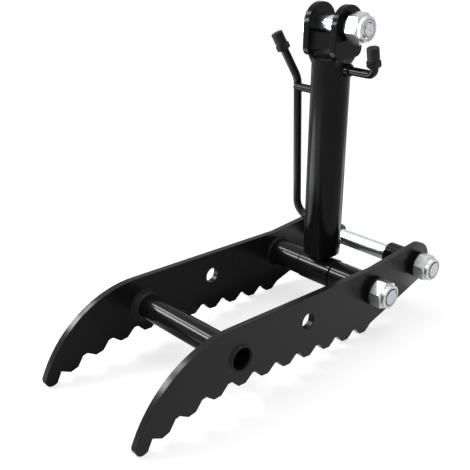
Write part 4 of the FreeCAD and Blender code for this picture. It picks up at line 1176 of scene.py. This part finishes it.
@dataclass(frozen=True)
class Studio:
    """The floor, the soft lights and the camera at the photograph's angle."""

    floor_height: float = -0.0592
    floor_reach: float = 9.0
    wall_radius: float = 8.0
    wall_height: float = 8.0
    wall_middle: float = 3.9
    barrel_forward: float = 0.087
    card_lift: float = 0.003
    lamp_aim: Triple = (0.2, 0.0, 0.0)
    camera_at: Triple = (0.76651, 0.54910, 0.40640)
    camera_right: Triple = (-0.720219, 0.693663, 0.010787)
    camera_back: Triple = (0.641124, 0.659567, 0.392341)
    lens: float = 59.81
    world_brightness: float = 0.82
    sun_strength: float = 1.75
    sun_angle: float = 1.2

    def camera(self) -> None:
        """Set up the camera."""
        data = bpy.data.cameras.new("camera")
        data.lens = self.lens
        data.sensor_width = 36.0
        data.sensor_fit = "HORIZONTAL"
        data.clip_start = 0.01
        camera = bpy.data.objects.new("camera", data)
        right = Vector(self.camera_right).normalized()
        back = Vector(self.camera_back).normalized()
        up = back.cross(right).normalized()
        right = up.cross(back).normalized()
        turn = Matrix((right, up, back)).transposed()
        camera.matrix_world = Matrix.Translation(self.camera_at) @ turn.to_4x4()
        bpy.context.scene.collection.objects.link(camera)
        bpy.context.scene.camera = camera

    def put(self, name: str, mesh: Mesh, paper: StudioPaper, hidden_from: Iterable[Ray] = ()) -> None:
        """Put up one piece of the studio, which is no part of the object.

        Args:
            name: The piece's name.
            mesh: Its mesh in metres. It is freed.
            paper: What it is covered with.
            hidden_from: The rays that pass it by.
        """
        piece = new_object(name, mesh)
        piece.data.materials.append(paper.make())
        for ray in hidden_from:
            setattr(piece, ray.value, False)

    def floor(self) -> None:
        """Lay the floor."""
        mesh = bmesh.new()
        bmesh.ops.create_grid(mesh, x_segments=1, y_segments=1, size=self.floor_reach,
                              matrix=Matrix.Translation((0.0, 0.0, self.floor_height)))
        self.put("floor", mesh, StudioPaper("studio_floor", grey(0.29), grey(0.31), 0.62))

    def backdrop(self) -> None:
        """A white round wall near the floor's edge, which lights nothing and isn't reflected."""
        mesh = bmesh.new()
        bmesh.ops.create_cone(mesh, cap_ends=False, segments=64, radius1=self.wall_radius,
                              radius2=self.wall_radius, depth=self.wall_height,
                              matrix=Matrix.Translation((0.0, 0.0, self.floor_height + self.wall_middle)))
        self.put("backdrop", mesh, StudioPaper("backdrop_paper", grey(0.01), grey(0.01), 1.02),
                 (Ray.DIFFUSE, Ray.GLOSSY, Ray.SHADOW))

    def shade_sheet(self, name: str, size: Point, middle: Point, height: float, tone: float) -> None:
        """A dark sheet on the floor behind the near plate, which shows only in the object's reflections:
        painted shade in what the object reflects.

        Args:
            name: The sheet's name.
            size: Its length along X and along Y.
            middle: Where its middle lies on the floor.
            height: How far it lies over the floor.
            tone: How pale the painted shade is.
        """
        mesh = bmesh.new()
        bmesh.ops.create_grid(mesh, x_segments=1, y_segments=1, size=0.5)
        bmesh.ops.scale(mesh, vec=(*size, 1.0), verts=mesh.verts)
        bmesh.ops.translate(mesh, vec=(*middle, self.floor_height + height), verts=mesh.verts)
        shade_tint = (tone * 0.96, tone, tone * 1.04)
        self.put(name, mesh, StudioPaper(name + "_cloth", dimmed(shade_tint, 0.85), shade_tint, 0.0),
                 (Ray.CAMERA, Ray.DIFFUSE, Ray.SHADOW))

    def area_light(self, name: str, size: Point, watts: float, place: Matrix) -> None:
        """A soft rectangular light that the camera doesn't see.

        Args:
            name: The light's name.
            size: Its width and height.
            watts: Its power.
            place: Its frame. It shines against the frame's Z.
        """
        data = bpy.data.lights.new(name, "AREA")
        data.shape = "RECTANGLE"
        data.size, data.size_y = size
        data.energy = watts
        light = bpy.data.objects.new(name, data)
        light.matrix_world = place
        light.visible_camera = False
        bpy.context.scene.collection.objects.link(light)

    def lamp(self, name: str, at: Sequence[float], size: Point, watts: float) -> None:
        """A soft rectangular lamp that hangs over the object.

        Args:
            name: The lamp's name.
            at: Where it hangs.
            size: Its width and height.
            watts: Its power.
        """
        way = (Vector(at) - Vector(self.lamp_aim)).normalized()
        wide = Vector((0.0, 1.0, 0.0)).cross(way).normalized()
        turn = Matrix((wide, way.cross(wide), way)).transposed()
        self.area_light(name, size, watts, Matrix.Translation(at) @ turn.to_4x4())

    def card(self, name: str, bearing: float, distance: float, size: Point, watts: float) -> None:
        """A lit card that lies on the floor beside the barrel and shines upwards.

        Args:
            name: The card's name.
            bearing: The direction from the barrel, in degrees from the X axis.
            distance: From the barrel's axis to the card's middle.
            size: Its length outwards and its width.
            watts: Its power.
        """
        turn = Matrix.Rotation(math.radians(bearing), 4, "Z")
        out = turn @ Vector((distance, 0.0, 0.0))
        middle = (self.barrel_forward + out.x, out.y, self.floor_height + self.card_lift)
        face_up = Matrix.Rotation(math.pi, 4, "X")
        self.area_light(name, size, watts, Matrix.Translation(middle) @ turn @ face_up)

    def build(self) -> None:
        """Set everything up."""
        bpy.context.scene.view_settings.view_transform = "Standard"
        world = bpy.data.worlds.new("studio")
        bpy.context.scene.world = world
        world.use_nodes = True
        background = world.node_tree.nodes["Background"]
        background.inputs["Color"].default_value = (*WHITE, 1.0)
        background.inputs["Strength"].default_value = self.world_brightness
        self.floor()
        self.backdrop()
        # Painted shade: dark sheets on the floor that only the object's reflections see.
        self.shade_sheet("grey_shade_sheet", size=(1.3, 0.966), middle=(0.2, -0.417), height=0.001, tone=0.3)
        self.shade_sheet("black_shade_sheet", size=(0.5, 0.315), middle=(-0.05, -0.1925), height=0.002, tone=0.035)
        self.lamp("upper_strip", at=(0.53, -0.75, 0.82), size=(0.19, 0.5), watts=6.6)
        self.lamp("lower_strip", at=(0.656, -0.49, 0.435), size=(0.135, 0.4), watts=5.6)
        self.card("left_near_card", bearing=-50.0, distance=0.33, size=(0.2, 0.2), watts=0.38)
        self.card("left_far_card", bearing=-50.0, distance=0.67, size=(0.48, 0.34), watts=3.8)
        self.card("wash_card", bearing=-18.0, distance=0.68, size=(0.54, 0.38), watts=1.5)
        self.card("rear_card", bearing=165.0, distance=0.45, size=(0.6, 0.16), watts=0.6)
        sun = bpy.data.lights.new("sky", "SUN")
        sun.energy = self.sun_strength
        sun.angle = self.sun_angle
        sky = bpy.data.objects.new("sky", sun)
        bpy.context.scene.collection.objects.link(sky)
        self.camera()


def main() -> None:
    """Build the thumb, dress it and light it."""
    logging.basicConfig(level=logging.INFO, format="%(message)s")
    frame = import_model()
    nodes = frame["nodes"]
    layout = Layout()
    coat = PowderCoat("black_powder_coat").make()
    nylon = Moulding("nylon_ring", (0.36, 0.36, 0.34), 0.4).make()
    plastic = Moulding("dust_cap_plastic", (0.005, 0.005, 0.0054), roughness=0.5, grain=0.00004, scale=900.0,
                       shine=0.16).make()
    SidePlates().build(nodes, coat)
    round_coat = PowderCoat("round_powder_coat", tone=0.0034, roughness=0.14, peel=0.000006,
                            shine=0.14).make()
    CrossTube(layout).build(round_coat)
    PivotBushes(layout).build(round_coat)
    plates = layout.plate()
    cylinder = layout.cylinder()
    seat = layout.bush_face
    for name, x, z in (("rear_pivot", 0.0, 0.0), ("lower_pivot", layout.pivot_forward, -layout.pivot_drop)):
        head, nut = (layout.across(plates, x, z, offset) for offset in (-seat, seat))
        PinnedJoint(name, "thumb_frame", head, nut, length=2 * seat + PinnedJoint.nut_height).build(nylon)
    pin_height, ear_face, nut_seat = 292.5, 23.0, 28.0
    PinnedJoint("clevis", "barrel", layout.across(cylinder, 0.0, pin_height, -ear_face),
                layout.across(cylinder, 0.0, pin_height, nut_seat), length=71.5, head_turn=19.5,
                nut_turn=-18.0, end_spot=6.8).build(nylon)
    Cylinder(layout).build(nodes, round_coat)
    HardLines(layout).build(round_coat, plastic)
    Studio().build()


if __name__ == "__main__":
    main()
